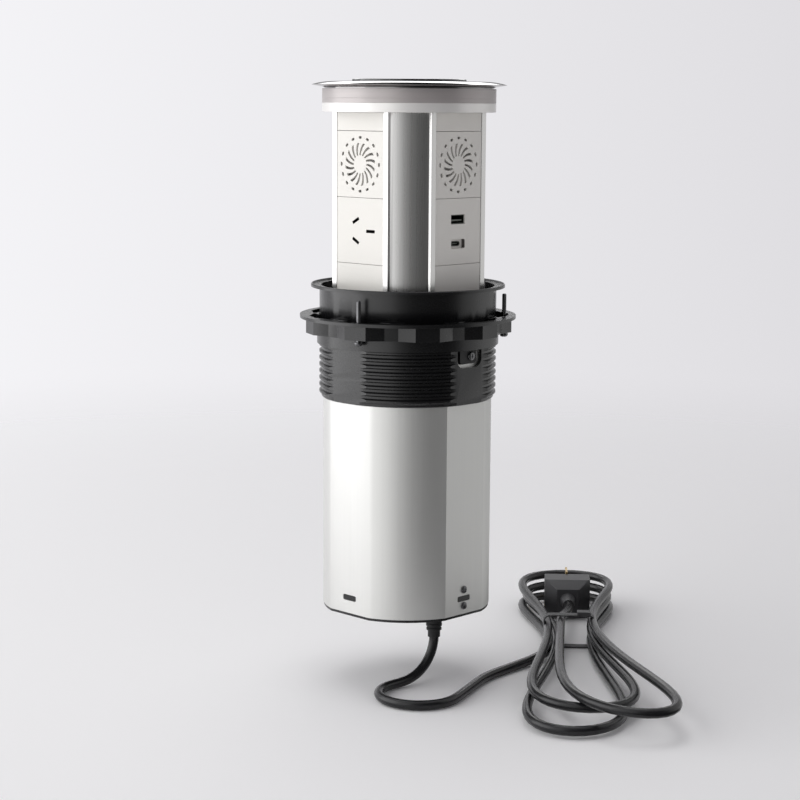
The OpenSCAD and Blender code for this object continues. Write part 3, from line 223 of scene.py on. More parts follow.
# finishes: tone pair, roughness range, metal, surface group with its values, bump (strength, depth in metres),
# coat (weight, roughness) and specular level
finishes = {
    "bodyAluminium": dict(
        tones=((0.63, 0.63, 0.615), (0.7, 0.7, 0.685)), rough=(0.42, 0.52), metal=0.86,
        surface="drawn", values={"Fineness": 2600.0, "Length": 7.0}, bump=(0.06, 0.00004)),
    "postAluminium": dict(
        tones=((0.66, 0.655, 0.645), (0.74, 0.735, 0.725)), rough=(0.24, 0.32), metal=1.0,
        surface="drawn", values={"Fineness": 3200.0, "Length": 8.0}, bump=(0.06, 0.00004)),
    "lidChrome": dict(
        tones=((0.28, 0.27, 0.268), (0.34, 0.33, 0.328)), rough=(0.04, 0.1), metal=1.0,
        surface="marks", values={"Size": 36.0}),
    "padGloss": dict(
        tones=((0.012, 0.012, 0.014), (0.018, 0.018, 0.02)), rough=(0.06, 0.16),
        surface="marks", values={"Size": 48.0}, coat=(0.6, 0.08)),
    "frostedRing": dict(
        tones=((0.41, 0.38, 0.375), (0.48, 0.447, 0.442)), rough=(0.28, 0.38), metal=0.35,
        surface="drawn", values={"Fineness": 5.0, "Length": 2400.0}, bump=(0.08, 0.00004)),
    "whitePlastic": dict(
        tones=((0.74, 0.722, 0.68), (0.78, 0.762, 0.72)), rough=(0.3, 0.42),
        surface="mould", values={"Grain": 2400.0, "Patch": 26.0}, bump=(0.05, 0.00003)),
    "pearlWhite": dict(
        tones=((0.82, 0.805, 0.785), (0.87, 0.855, 0.835)), rough=(0.24, 0.34), metal=0.35,
        surface="mould", values={"Grain": 2400.0, "Patch": 26.0}, bump=(0.04, 0.00003)),
    "satinBlack": dict(
        tones=((0.0028, 0.0028, 0.0032), (0.0058, 0.0058, 0.0066)), rough=(0.22, 0.32),
        surface="mould", values={"Grain": 1900.0, "Patch": 24.0}, bump=(0.1, 0.00005), specular=0.6),
    "guideBlack": dict(
        tones=((0.006, 0.006, 0.0065), (0.011, 0.011, 0.012)), rough=(0.5, 0.62),
        surface="mould", values={"Grain": 1600.0, "Patch": 30.0}, bump=(0.12, 0.00005)),
    "dullBlack": dict(
        tones=((0.03, 0.03, 0.032), (0.05, 0.05, 0.052)), rough=(0.5, 0.65),
        surface="mould", values={"Grain": 1600.0, "Patch": 30.0}, bump=(0.15, 0.00005)),
    "cordSheath": dict(
        tones=((0.006, 0.006, 0.0068), (0.013, 0.013, 0.0145)), rough=(0.22, 0.32),
        surface="cord", values={"Ridges": 7.0}, bump=(0.22, 0.00012), specular=0.4),
    "plugRubber": dict(
        tones=((0.022, 0.022, 0.024), (0.036, 0.036, 0.039)), rough=(0.4, 0.55),
        surface="mould", values={"Grain": 1300.0, "Patch": 34.0}, bump=(0.15, 0.00006)),
    "brightSteel": dict(
        tones=((0.58, 0.58, 0.59), (0.68, 0.68, 0.69)), rough=(0.16, 0.3), metal=1.0,
        surface="marks", values={"Size": 160.0}),
    "groundSteel": dict(
        tones=((0.42, 0.42, 0.44), (0.52, 0.52, 0.54)), rough=(0.24, 0.4), metal=1.0,
        surface="drawn", values={"Fineness": 1800.0, "Length": 60.0}, bump=(0.06, 0.00004)),
    "blackSteel": dict(
        tones=((0.13, 0.13, 0.135), (0.19, 0.19, 0.195)), rough=(0.14, 0.24), metal=1.0,
        surface="marks", values={"Size": 200.0}),
    "brassMetal": dict(
        tones=((0.6, 0.42, 0.16), (0.68, 0.5, 0.22)), rough=(0.22, 0.36), metal=1.0,
        surface="marks", values={"Size": 120.0}),
    "copperWire": dict(
        tones=((0.42, 0.16, 0.06), (0.62, 0.28, 0.12)), rough=(0.22, 0.34), metal=1.0,
        surface="turned", values={"Rings": 6283.0}, bump=(0.5, 0.0002)),
    "ferriteGrey": dict(
        tones=((0.05, 0.05, 0.052), (0.08, 0.08, 0.082)), rough=(0.55, 0.7),
        surface="mould", values={"Grain": 1400.0, "Patch": 60.0}, bump=(0.2, 0.00006)),
    "boardGreen": dict(
        tones=((0.018, 0.085, 0.035), (0.03, 0.14, 0.06)), rough=(0.3, 0.45),
        surface="mould", values={"Grain": 700.0, "Patch": 240.0}, bump=(0.1, 0.00005), coat=(0.3, 0.08)),
    "conePaper": dict(
        tones=((0.6, 0.59, 0.57), (0.7, 0.69, 0.67)), rough=(0.75, 0.9),
        surface="mould", values={"Grain": 900.0, "Patch": 70.0}, bump=(0.3, 0.0001)),
    "nylonGear": dict(
        tones=((0.7, 0.66, 0.55), (0.76, 0.72, 0.62)), rough=(0.4, 0.52),
        surface="mould", values={"Grain": 1100.0, "Patch": 40.0}, bump=(0.08, 0.00004)),
    "chipWhite": dict(
        tones=((0.8, 0.79, 0.7), (0.85, 0.84, 0.76)), rough=(0.3, 0.4),
        surface="mould", values={"Grain": 1500.0, "Patch": 90.0}),
    # near-black: the socket bodies' own colour, and painted shade on the slot walls of the white panels
    "socketBlackAndSlotShade": dict(
        tones=((0.009, 0.009, 0.0095), (0.015, 0.015, 0.016)), rough=(0.5, 0.62),
        surface="mould", values={"Grain": 1500.0, "Patch": 40.0}, bump=(0.1, 0.00005)),
    # dark grey painted shade for the side walls of the ports' recess
    "paintedRecessShade": dict(
        tones=((0.05, 0.045, 0.042), (0.07, 0.063, 0.059)), rough=(0.4, 0.5),
        surface="mould", values={"Grain": 1500.0, "Patch": 60.0}, bump=(0.08, 0.00004)),
    # near-black painted shade for the inside of the ports' metal shells
    "paintedPortShade": dict(
        tones=((0.008, 0.0095, 0.008), (0.014, 0.016, 0.0135)), rough=(0.4, 0.5),
        surface="mould", values={"Grain": 1500.0, "Patch": 60.0}, bump=(0.08, 0.00004)),
    "portTongue": dict(
        tones=((0.1, 0.12, 0.1), (0.15, 0.17, 0.145)), rough=(0.35, 0.45),
        surface="mould", values={"Grain": 1500.0, "Patch": 60.0}),
}


def makeFinish(name, spec):
    mat = bpy.data.materials.new(name)
    mat.use_nodes = True
    tree = mat.node_tree
    shader = tree.nodes["Principled BSDF"]
    coords = tree.nodes.new("ShaderNodeTexCoord")
    surface = tree.nodes.new("ShaderNodeGroup")
    surface.node_tree = groups[spec["surface"]]
    if spec["surface"] == "cord":
        tree.links.new(coords.outputs["UV"], surface.inputs["UV"])
    else:
        tree.links.new(coords.outputs["Object"], surface.inputs["Vector"])
    for label, value in spec["values"].items():
        surface.inputs[label].default_value = value
    mask = surface.outputs["Mask"]
    tree.links.new(toneNode(tree, spec["tones"], mask), shader.inputs["Base Color"])
    gloss = tree.nodes.new("ShaderNodeMapRange")
    gloss.inputs["To Min"].default_value, gloss.inputs["To Max"].default_value = spec["rough"]
    tree.links.new(mask, gloss.inputs["Value"])
    tree.links.new(gloss.outputs["Result"], shader.inputs["Roughness"])
    shader.inputs["Metallic"].default_value = spec.get("metal", 0)
    shader.inputs["Specular IOR Level"].default_value = spec.get("specular", 0.5)
    if "coat" in spec:
        shader.inputs["Coat Weight"].default_value, shader.inputs["Coat Roughness"].default_value = spec["coat"]
    if "bump" in spec:
        bump = tree.nodes.new("ShaderNodeBump")
        bump.inputs["Strength"].default_value, bump.inputs["Distance"].default_value = spec["bump"]
        tree.links.new(surface.outputs["Height"], bump.inputs["Height"])
        tree.links.new(bump.outputs["Normal"], shader.inputs["Normal"])
    return mat


mats = {name: makeFinish(name, spec) for name, spec in finishes.items()}
print("finishes:", len(mats))


# mesh helpers
crease = 32  # degrees between faces, from which their edge shows
weld = {"gap": 2e-6, "flat": 0.4}  # metres between points that are one, degrees between faces that are one


def addPiece(name, mesh, finish):
    piece = bpy.data.objects.new(name, mesh)
    scene.collection.objects.link(piece)
    piece.data.materials.clear()
    piece.data.materials.append(mats[finish])
    return piece


def smoothMesh(mesh, angle=crease):
    mesh.shade_smooth()
    mesh.set_sharp_from_angle(angle=math.radians(angle))


def addBevel(piece, width, segments, angle):
    mod = piece.modifiers.new("softEdge", "BEVEL")
    mod.width = width * mm
    mod.segments = segments
    mod.limit_method = "ANGLE"
    mod.angle_limit = math.radians(angle)
    mod.harden_normals = True
    mod.use_clamp_overlap = True


def lathe(name, profile, finish, segments, angle=crease):
    # profile: closed loop of (radius, height) in mm, turned about Z
    mesh = bpy.data.meshes.new(name)
    bm = bmesh.new()
    around = [2 * math.pi * k / segments for k in range(segments)]
    rings = []
    for r, z in profile:
        if r == 0:
            rings.append([bm.verts.new((0, 0, z * mm))])
        else:
            rings.append([bm.verts.new((r * mm * math.cos(a), r * mm * math.sin(a), z * mm)) for a in around])
    for a, b in zip(rings, rings[1:] + rings[:1]):
        for k in range(segments):
            n = (k + 1) % segments
            if len(a) == 1 and len(b) == 1:
                continue
            if len(a) == 1:
                bm.faces.new((a[0], b[n], b[k]))
            elif len(b) == 1:
                bm.faces.new((a[k], a[n], b[0]))
            else:
                bm.faces.new((a[k], a[n], b[n], b[k]))
    bmesh.ops.recalc_face_normals(bm, faces=bm.faces)
    bm.to_mesh(mesh)
    bm.free()
    smoothMesh(mesh, angle)
    return addPiece(name, mesh, finish)


def dressNode(node, name, finish, body, bevel, segments=2, angle=crease):
    # a merged copy of a solid, with soft edges, in place of its loose triangles
    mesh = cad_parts[node].data.copy()
    mesh.name = name
    bm = bmesh.new()
    bm.from_mesh(mesh)
    bmesh.ops.remove_doubles(bm, verts=bm.verts, dist=weld["gap"])
    bmesh.ops.dissolve_limit(bm, angle_limit=math.radians(weld["flat"]), verts=bm.verts, edges=bm.edges)
    bm.to_mesh(mesh)
    bm.free()
    smoothMesh(mesh, angle)
    piece = addPiece(name, mesh, finish)
    if bevel:
        addBevel(piece, bevel, segments, angle)
    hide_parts(node)
    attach(piece, body)
    return piece


def paintFaces(piece, finish, chosen):
    # chosen(centre in mm, normal) picks the faces that take the other finish
    piece.data.materials.append(mats[finish])
    last = len(piece.data.materials) - 1
    for face in piece.data.polygons:
        if chosen(face.center / mm, face.normal):
            face.material_index = last


# geometry node trees for what repeats
def newNodeTree(name, inputs):
    shape = ("Geometry", "NodeSocketGeometry")
    every = [(*shape, None)] + inputs + [("Finish", "NodeSocketMaterial", None)]
    return newGroup(name, "GeometryNodeTree", every, [shape])


def liftNode(tree, geometry, height):
    lift = tree.nodes.new("GeometryNodeSetPosition")
    offset = tree.nodes.new("ShaderNodeCombineXYZ")
    tree.links.new(height, offset.inputs["Z"])
    tree.links.new(geometry, lift.inputs["Geometry"])
    tree.links.new(offset.outputs[0], lift.inputs["Offset"])
    return lift.outputs[0]


def endTree(tree, geometry, source, out):
    real = tree.nodes.new("GeometryNodeRealizeInstances")
    paint = tree.nodes.new("GeometryNodeSetMaterial")
    tree.links.new(geometry, real.inputs[0])
    tree.links.new(real.outputs[0], paint.inputs["Geometry"])
    tree.links.new(source.outputs["Finish"], paint.inputs["Material"])
    tree.links.new(paint.outputs[0], out.inputs[0])


def runTree(name, base, tree, values, finish):
    # sets the inputs, bakes the result into a plain mesh and drops the modifier
    carrier = bpy.data.objects.new(name + "Base", base)
    scene.collection.objects.link(carrier)
    mod = carrier.modifiers.new("nodes", "NODES")
    mod.node_group = tree
    ids = {item.name: item.identifier for item in tree.interface.items_tree if item.in_out == "INPUT"}
    for label, value in values.items():
        mod[ids[label]] = value
    mod[ids["Finish"]] = mats[finish]
    bpy.context.view_layer.update()
    done = carrier.evaluated_get(bpy.context.evaluated_depsgraph_get())
    mesh = bpy.data.meshes.new_from_object(done)
    mesh.name = name
    bpy.data.objects.remove(carrier)
    smoothMesh(mesh)
    return addPiece(name, mesh, finish)


def makeScrewTree():
    # the pattern at each point, turned and scaled by the point's own values
    tree, src, out = newNodeTree("screwSet", [("Pattern", "NodeSocketObject", None)])
    info = tree.nodes.new("GeometryNodeObjectInfo")
    named = {}
    for label, kind in (("facing", "FLOAT_VECTOR"), ("size", "FLOAT")):
        node = tree.nodes.new("GeometryNodeInputNamedAttribute")
        node.data_type = kind
        node.inputs["Name"].default_value = label
        named[label] = node.outputs[0]
    align = tree.nodes.new("FunctionNodeAlignRotationToVector")
    align.axis = "Z"
    place = tree.nodes.new("GeometryNodeInstanceOnPoints")
    tree.links.new(src.outputs["Pattern"], info.inputs["Object"])
    tree.links.new(named["facing"], align.inputs["Vector"])
    tree.links.new(src.outputs["Geometry"], place.inputs["Points"])
    tree.links.new(info.outputs["Geometry"], place.inputs["Instance"])
    tree.links.new(align.outputs[0], place.inputs["Rotation"])
    tree.links.new(named["size"], place.inputs["Scale"])
    endTree(tree, place.outputs[0], src, out)
    return tree


# pan head of 1 mm radius with a short shank and a cross recess
screwHead = {
    "profile": [(0, -1.4), (0.42, -1.4), (0.46, -1.3), (0.46, 0), (0.96, 0), (1.0, 0.05), (1.0, 0.2), (0.94, 0.31),
                (0.8, 0.4), (0.56, 0.46), (0.3, 0.48), (0, 0.48)],
    "sides": 32,
    "cross": (1.16, 0.26, 0.5),  # length, width and height of each cutter
    "crossMiddle": 0.42,
    "crossTaper": 0.55,  # length at the foot over the length at the top
}


def makeScrewPattern(s):
    head = lathe("screwPattern", s["profile"], "brightSteel", s["sides"])
    mesh = bpy.data.meshes.new("crossCutter")
    bm = bmesh.new()
    long, wide, deep = s["cross"]
    for turn in (0, 90):
        spin = Matrix.Rotation(math.radians(turn), 3, "Z")
        for v in bmesh.ops.create_cube(bm, size=1.0)["verts"]:
            taper = 1.0 if v.co.z > 0 else s["crossTaper"]
            x, y = v.co.x * long * taper * mm, v.co.y * wide * mm
            v.co = spin @ Vector((x, y, s["crossMiddle"] * mm + v.co.z * deep * mm))
    bm.to_mesh(mesh)
    bm.free()
    cutter = bpy.data.objects.new("crossCutter", mesh)
    scene.collection.objects.link(cutter)
    cut = head.modifiers.new("cross", "BOOLEAN")
    cut.operation = "DIFFERENCE"
    cut.solver = "EXACT"
    cut.use_self = True  # the two cutters cross each other
    cut.object = cutter
    bpy.context.view_layer.update()
    done = bpy.data.meshes.new_from_object(head.evaluated_get(bpy.context.evaluated_depsgraph_get()))
    head.modifiers.clear()
    head.data = done
    bpy.data.objects.remove(cutter)
    return head


def pointCloud(name, places):
    # one vertex for each (place, facing, size)
    mesh = bpy.data.meshes.new(name)
    mesh.from_pydata([Vector(p) * mm for p, f, r in places], [], [])
    mesh.attributes.new("facing", "FLOAT_VECTOR", "POINT")
    mesh.attributes.new("size", "FLOAT", "POINT")
    for i, (p, f, r) in enumerate(places):
        mesh.attributes["facing"].data[i].vector = f
        mesh.attributes["size"].data[i].value = r
    return mesh


def makeLightTree():
    # light chips spaced round the board under the frosted ring, sizes in metres
    tree, src, out = newNodeTree("lightChips", [
        ("Count", "NodeSocketInt", 24),
        ("Radius", "NodeSocketFloat", 0.0548),
        ("Height", "NodeSocketFloat", 0.126),
        ("Chip", "NodeSocketVector", (0.0016, 0.0028, 0.0016)),
    ])
    circle = tree.nodes.new("GeometryNodeMeshCircle")
    chip = tree.nodes.new("GeometryNodeMeshCube")
    place = tree.nodes.new("GeometryNodeInstanceOnPoints")
    where = tree.nodes.new("GeometryNodeInputPosition")
    flat = tree.nodes.new("ShaderNodeVectorMath")
    flat.operation = "MULTIPLY"
    flat.inputs[1].default_value = (1, 1, 0)
    align = tree.nodes.new("FunctionNodeAlignRotationToVector")
    align.axis = "X"
    tree.links.new(src.outputs["Count"], circle.inputs["Vertices"])
    tree.links.new(src.outputs["Radius"], circle.inputs["Radius"])
    tree.links.new(src.outputs["Chip"], chip.inputs["Size"])
    tree.links.new(where.outputs[0], flat.inputs[0])
    tree.links.new(flat.outputs[0], align.inputs["Vector"])
    tree.links.new(liftNode(tree, circle.outputs[0], src.outputs["Height"]), place.inputs["Points"])
    tree.links.new(chip.outputs["Mesh"], place.inputs["Instance"])
    tree.links.new(align.outputs[0], place.inputs["Rotation"])
    endTree(tree, place.outputs[0], src, out)
    return tree


def makeWindingTree():
    # flat spiral of wire under the charging pad, sizes in metres
    tree, src, out = newNodeTree("flatWinding", [
        ("Turns", "NodeSocketFloat", 13.0),
        ("Inner", "NodeSocketFloat", 0.0086),
        ("Outer", "NodeSocketFloat", 0.0214),
        ("Wire", "NodeSocketFloat", 0.00047),
        ("Height", "NodeSocketFloat", 0.139),
        ("Steps", "NodeSocketInt", 40),
        ("Sides", "NodeSocketInt", 8),
    ])
    spiral = tree.nodes.new("GeometryNodeCurveSpiral")
    spiral.inputs["Height"].default_value = 0
    ring = tree.nodes.new("GeometryNodeCurvePrimitiveCircle")
    tube = tree.nodes.new("GeometryNodeCurveToMesh")
    tube.inputs["Fill Caps"].default_value = True
    tree.links.new(src.outputs["Steps"], spiral.inputs["Resolution"])
    tree.links.new(src.outputs["Turns"], spiral.inputs["Rotations"])
    tree.links.new(src.outputs["Inner"], spiral.inputs["Start Radius"])
    tree.links.new(src.outputs["Outer"], spiral.inputs["End Radius"])
    tree.links.new(src.outputs["Sides"], ring.inputs["Resolution"])
    tree.links.new(src.outputs["Wire"], ring.inputs["Radius"])
    tree.links.new(spiral.outputs[0], tube.inputs["Curve"])
    tree.links.new(ring.outputs[0], tube.inputs["Profile Curve"])
    endTree(tree, liftNode(tree, tube.outputs[0], src.outputs["Height"]), src, out)
    return tree


# cord: down from the base, along the floor and into a tied hank with its plug, in mm
cordSpec = {
    "diameter": 6.8,
    "floor": -280.0,
    "exit": (28.0, 0.0, -247.5),
    "lead": [(28, 0, -247.5), (28, 0, -249.5), (27.8, -1.3, -256.7), (27.1, -5.6, -264.9), (26, -12.3, -271.4),
             (24.6, -20.5, -275.4), (23.2, -29.6, -276.6), (22.2, -38.9, -276.6), (24, -48, -276.6),
             (28.8, -56, -276.6), (35.9, -61.9, -276.6), (44.6, -65.2, -276.6), (53.9, -65.4, -276.6),
             (62.7, -62.4, -276.6), (70, -56.8, -276.6), (75.1, -49, -276.6), (77.3, -40, -276.6),
             (76.4, -30.7, -276.6), (73.1, -22, -276.6), (69.8, -13.3, -276.6), (66.4, -4.6, -276.6),
             (63, 4.1, -276.6), (59.7, 12.8, -276.6), (56.6, 21.6, -276.6), (54.8, 30.7, -276.6), (53.6, 40, -276.6),
             (52.8, 49.3, -276.6), (52.1, 58.6, -276.6), (51.4, 67.9, -276.5), (50.7, 77.2, -276.3),
             (49.7, 86.5, -276), (48.3, 95.7, -275.7), (45.9, 104.7, -275.4)],
    "entry": (3, 1, 0),  # points of the straight run into the hank, in cord diameters before it
    "hankPlace": (40.0, 139.0),
    "hankTurn": 42.0,
    "turns": 3,
    "waist": 9.0,  # half width at the tie
    "lobe": 74.0,  # swell of the loops
    "layer": 0.9,  # gap between layers
    "step": 0.8,  # gap between neighbours at the waist
    "lift": 1.4,  # of the lowest layer over the floor
    "far": (140, 146, 152),  # reach of each turn to either side of the waist
    "near": (222, 196, 230),
    "lean": (-8, 4, 40),  # of each near loop to its side
    "tail": 58.0,
    "plugRise": 15.5,
    "pieces": {"lead": 4, "turn": 72, "tail": 14},  # steps of the route
    "passes": 8,  # of smoothing
    "sides": 14,
    "crease": 50,
    "sheathScale": 10,  # UV length of one metre of cord
}


def ease(x):
    return (1 - math.cos(math.pi * min(max(x, 0), 1))) / 2


def hankPoint(t, c):
    # t counts the turns: each goes out to the far end, back past the tie and out to the near end
    turn = min(int(math.floor(t + 1e-9)), c["turns"] - 1)
    s = math.sin(2 * math.pi * t)
    near = c["near"][turn]
    y = s * c["far"][turn] if s > 0 else s * near
    lean = c["lean"][turn] * (y / near) ** 2 if s < 0 else 0
    spread = (c["diameter"] + c["step"]) * abs(t % 2 - 1)
    climb = sum(ease((t - k + 0.25) * 2) for k in range(1, c["turns"]))  # a layer in half a turn
    x = lean - math.cos(2 * math.pi * t) * (c["waist"] + spread + c["lobe"] * s * s)
    z = c["floor"] + c["diameter"] / 2 + c["lift"] + (c["diameter"] + c["layer"]) * climb
    return Vector((x, y, z))


def toFloor(p, c):
    a = math.radians(c["hankTurn"])
    x = c["hankPlace"][0] + p.x * math.cos(a) - p.y * math.sin(a)
    y = c["hankPlace"][1] + p.x * math.sin(a) + p.y * math.cos(a)
    return Vector((x, y, p.z))


def smoothRoute(points, steps):
    # curve through every point, which starts straight down and ends straight
    pts = [Vector(p) for p in points]
    pts = [pts[0] + Vector((0, 0, (pts[1] - pts[0]).length))] + pts + [2 * pts[-1] - pts[-2]]
    route = []
    for i in range(1, len(pts) - 2):
        a, b, c, d = pts[i - 1 : i + 3]
        for k in range(steps):
            u = k / steps
            curve = 2 * b + (c - a) * u + (2 * a - 5 * b + 4 * c - d) * u * u + (3 * b - a - 3 * c + d) * u**3
            route.append(0.5 * curve)
    return route + [pts[-2]]


def cordRoute(c):
    count = c["pieces"]
    start = hankPoint(0, c)
    entry = [start - Vector((0, k * c["diameter"], 0)) for k in c["entry"]]
    lead = smoothRoute([Vector(p) for p in c["lead"]] + [toFloor(p, c) for p in entry], count["lead"])
    hank = [toFloor(hankPoint(i / count["turn"], c), c) for i in range(1, count["turn"] * c["turns"] + 1)]
    end = hankPoint(c["turns"], c)
    plugZ = c["floor"] + c["plugRise"]
    tail = []
    for i in range(1, count["tail"] + 1):
        x = i / count["tail"]
        p = Vector((end.x * (1 - ease(x)), c["tail"] * x, end.z + (plugZ - end.z) * ease(x)))
        tail.append(toFloor(p, c))
    path = lead + hank + tail
    for k in range(c["passes"]):
        path = path[:1] + [(a + 2 * b + d) / 4 for a, b, d in zip(path, path[1:], path[2:])] + path[-1:]
    last = toFloor(Vector((0, c["tail"] + c["diameter"], plugZ)), c)
    return [p * mm for p in path + [last]]


def sweepTube(name, route, spec, finish):
    # closed tube along the route, with U round it and V along it; its length comes back too
    mesh = bpy.data.meshes.new(name)
    bm = bmesh.new()
    uvLayer = bm.loops.layers.uv.new("sheath")
    radius, sides = spec["diameter"] * mm / 2, spec["sides"]
    around = [2 * math.pi * k / sides for k in range(sides)]
    final = len(route) - 1
    side = Vector((0, 1, 0))
    rings, runs, run = [], [], 0.0
    for i, p in enumerate(route):
        t = (route[min(i + 1, final)] - route[max(i - 1, 0)]).normalized()
        side = (side - side.dot(t) * t).normalized()
        other = t.cross(side)
        rings.append([bm.verts.new(p + radius * (math.cos(a) * side + math.sin(a) * other)) for a in around])
        run += (p - route[i - 1]).length if i else 0
        runs.append(run)
    for i in range(final):
        for k in range(sides):
            n = (k + 1) % sides
            face = bm.faces.new((rings[i][k], rings[i][n], rings[i + 1][n], rings[i + 1][k]))
            corners = ((k, runs[i]), (k + 1, runs[i]), (k + 1, runs[i + 1]), (k, runs[i + 1]))
            for loop, (u, v) in zip(face.loops, corners):
                loop[uvLayer].uv = (u / sides, v * spec["sheathScale"])
    bm.faces.new(list(reversed(rings[0])))
    bm.faces.new(rings[-1])
    bm.to_mesh(mesh)
    bm.free()
    smoothMesh(mesh, spec["crease"])
    return addPiece(name, mesh, finish), runs[-1]


route = cordRoute(cordSpec)
cord, cordLength = sweepTube("mainsCord", route, cordSpec, "cordSheath")
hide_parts("cord_lead", "cord_hank")
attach(cord, "housing")
plug = dressNode("mains_plug", "mainsPlug", "plugRubber", "housing", 1.0, 3, 25)
pins = dressNode("plug_pins", "plugPins", "brassMetal", "housing", 0.3)
tie = dressNode("cord_tie", "cordTie", "dullBlack", "housing", 0.2)
print("cord length:", round(cordLength, 3))


# lid, charging pad and light ring, in mm
lid = {
    "edgeZ": 139.0,
    "edge": 0.2,  # thickness of the rim
    "crown": 2.4,  # rise of the top over the rim's underside
    "radius": 67.6,
    "domeWide": 14.5,
    "steps": 14,
    "seat": 140.0,  # top of the ledge that carries the pad
    "ledge": (33, 2),  # inner radius and thickness
    "hole": 39.7,
    "chamfer": 0.15,
    "under": [(67.6, 0.05), (67.5, -0.02), (58.95, -1.55), (58.8, -1.7), (58.8, -2.4), (52, -2.4), (52, -15.4),
              (50, -15.4)],  # radius, and height over the rim's underside
    "sides": 224,
    "crease": 28,  # degrees, for the pad and the ring too
}
pad = {
    "rise": 1.6,  # over the top of the lid
    "radius": 39.5,
    "rim": [(39.5, -0.45), (39.4, -0.2), (39.2, -0.05), (38.9, 0), (36.2, 0), (36.1, -0.1), (35.7, -0.1), (35.6, 0)],
    "sides": 160,
}
lightRing = {
    "profile": [(57, 126.9), (60.0, 126.9), (60.2, 127.1), (60.2, 129.9), (60.12, 130.0), (60.12, 130.15),
                (60.2, 130.25), (60.2, 136.4), (60.0, 136.6), (57, 136.6)],
    "sides": 192,
}


def makeLid(lid, pad, ring):
    top, seat = lid["edgeZ"] + lid["crown"], lid["seat"]
    rise, wide = lid["crown"] - lid["edge"], lid["domeWide"]
    bend = (wide**2 + rise**2) / (2 * rise)
    turn = math.asin(wide / bend)
    angles = [turn * k / lid["steps"] for k in range(lid["steps"] + 1)]
    dome = [(lid["radius"] - wide + bend * math.sin(a), top - bend * (1 - math.cos(a))) for a in angles]
    inner, thick = lid["ledge"]
    hole, chamfer = lid["hole"], lid["chamfer"]
    ledge = [(inner, seat - thick), (inner, seat), (hole, seat), (hole, top - chamfer), (hole + chamfer, top)]
    under = [(r, lid["edgeZ"] + z) for r, z in lid["under"]]
    shellProfile = ledge + dome + under + [(under[-1][0], seat - thick)]
    face = top + pad["rise"]
    padProfile = [(0, seat), (pad["radius"], seat)] + [(r, face + z) for r, z in pad["rim"]] + [(0, face)]
    for name, node, profile, finish, slot, sides in (
        ("lidShell", "lid_shell", shellProfile, "lidChrome", "chrome", lid["sides"]),
        ("chargingPad", "charging_pad", padProfile, "padGloss", "pad_gloss", pad["sides"]),
        ("lightRing", "light_ring", ring["profile"], "frostedRing", "frosted_light", ring["sides"]),
    ):
        piece = lathe(name, profile, finish, sides, lid["crease"])
        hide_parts(node)
        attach(piece, "tower")


makeLid(lid, pad, lightRing)
print("lid made")

# tower: posts, panels and ports, in mm
slots = {
    "reach": 16.0,  # half size of the field that holds a socket's slots
    "middle": 40.5,  # its height
    "outward": 0.5,  # a wall's normal points outward by less than this
}
recess = {
    "half": 9.0,  # half width of the ports' recess
    "margin": 2.0,  # room above and below the slim port
    "sideways": 0.7,  # a side wall's normal points sideways by more than this
}
shroud = {"wall": 0.45, "lip": 0.2}  # of a port
tongue = {
    "low": 1.75,  # heights above the underside of the wide port
    "high": 2.85,
    "start": 3.0,  # from the back of a port
    "outward": 0.9,  # its front's normal points outward by more than this
}


def insideSlot(c, n):
    # walls of the slots: near the middle of the panel and not facing in or out; they are painted near-black as
    # painted shade inside the holes
    across = min(abs(c.x), abs(c.y))
    outward = abs(n.x) if abs(c.x) > abs(c.y) else abs(n.y)
    inField = across < slots["reach"] and abs(c.z - slots["middle"]) < slots["reach"]
    return inField and outward < slots["outward"]


def insidePort(c, low, high):
    wall = shroud["wall"]
    between = low.y + wall < c.y < high.y - wall and low.z + wall < c.z < high.z - wall
    return between or c.x < high.x - shroud["lip"]


def thinTongue(port, low, high):
    # the tongue of the wide port, brought to its seen thickness
    start = low.x + tongue["start"]
    inner = [v for v in port.data.vertices if insidePort(v.co / mm, low, high) and v.co.x / mm > start]
    if not inner:
        return
    bottom, top = min(v.co.z for v in inner), max(v.co.z for v in inner)
    for v in inner:
        share = (v.co.z - bottom) / (top - bottom)
        v.co.z = (low.z + tongue["low"] + share * (tongue["high"] - tongue["low"])) * mm


def paintRecess(panel):
    # the side walls of the ports' recess, painted dark grey as painted shade
    low, high = (Vector(v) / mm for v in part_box("usb_c_port"))
    bottom, top = low.z - recess["margin"], high.z + recess["margin"]

    def sideWall(c, n):
        return abs(n.y) > recess["sideways"] and bottom < c.z < top and abs(c.y) < recess["half"]

    paintFaces(panel, "paintedRecessShade", sideWall)


dressNode("head_ring", "capRing", "pearlWhite", "tower", 0.4, 3)
for n in range(1, 5):
    dressNode(f"corner_post_{n}", f"cornerPost{n}", "postAluminium", "tower", 0.25)
for node, name, bevel in (
    ("top_fillers", "topFillers", 0.15),
    ("bottom_fillers", "bottomFillers", 0.05),
    ("blank_panel_back", "blankPanelBack", 0.05),
    ("blank_panel_left", "blankPanelLeft", 0.05),
    ("socket_panel_front", "socketPanelFront", 0.05),
    ("socket_panel_back", "socketPanelBack", 0.05),
    ("socket_panel_left", "socketPanelLeft", 0.05),
    ("usb_panel", "portPanel", 0.05),
    ("speaker_panel_front", "speakerPanelFront", 0.05),
    ("speaker_panel_right", "speakerPanelRight", 0.05),
):
    panel = dressNode(node, name, "whitePlastic", "tower", bevel)
    if node.startswith("socket_panel"):
        # the slot walls take near-black painted shade
        paintFaces(panel, "socketBlackAndSlotShade", insideSlot)
    if node == "usb_panel":
        paintRecess(panel)
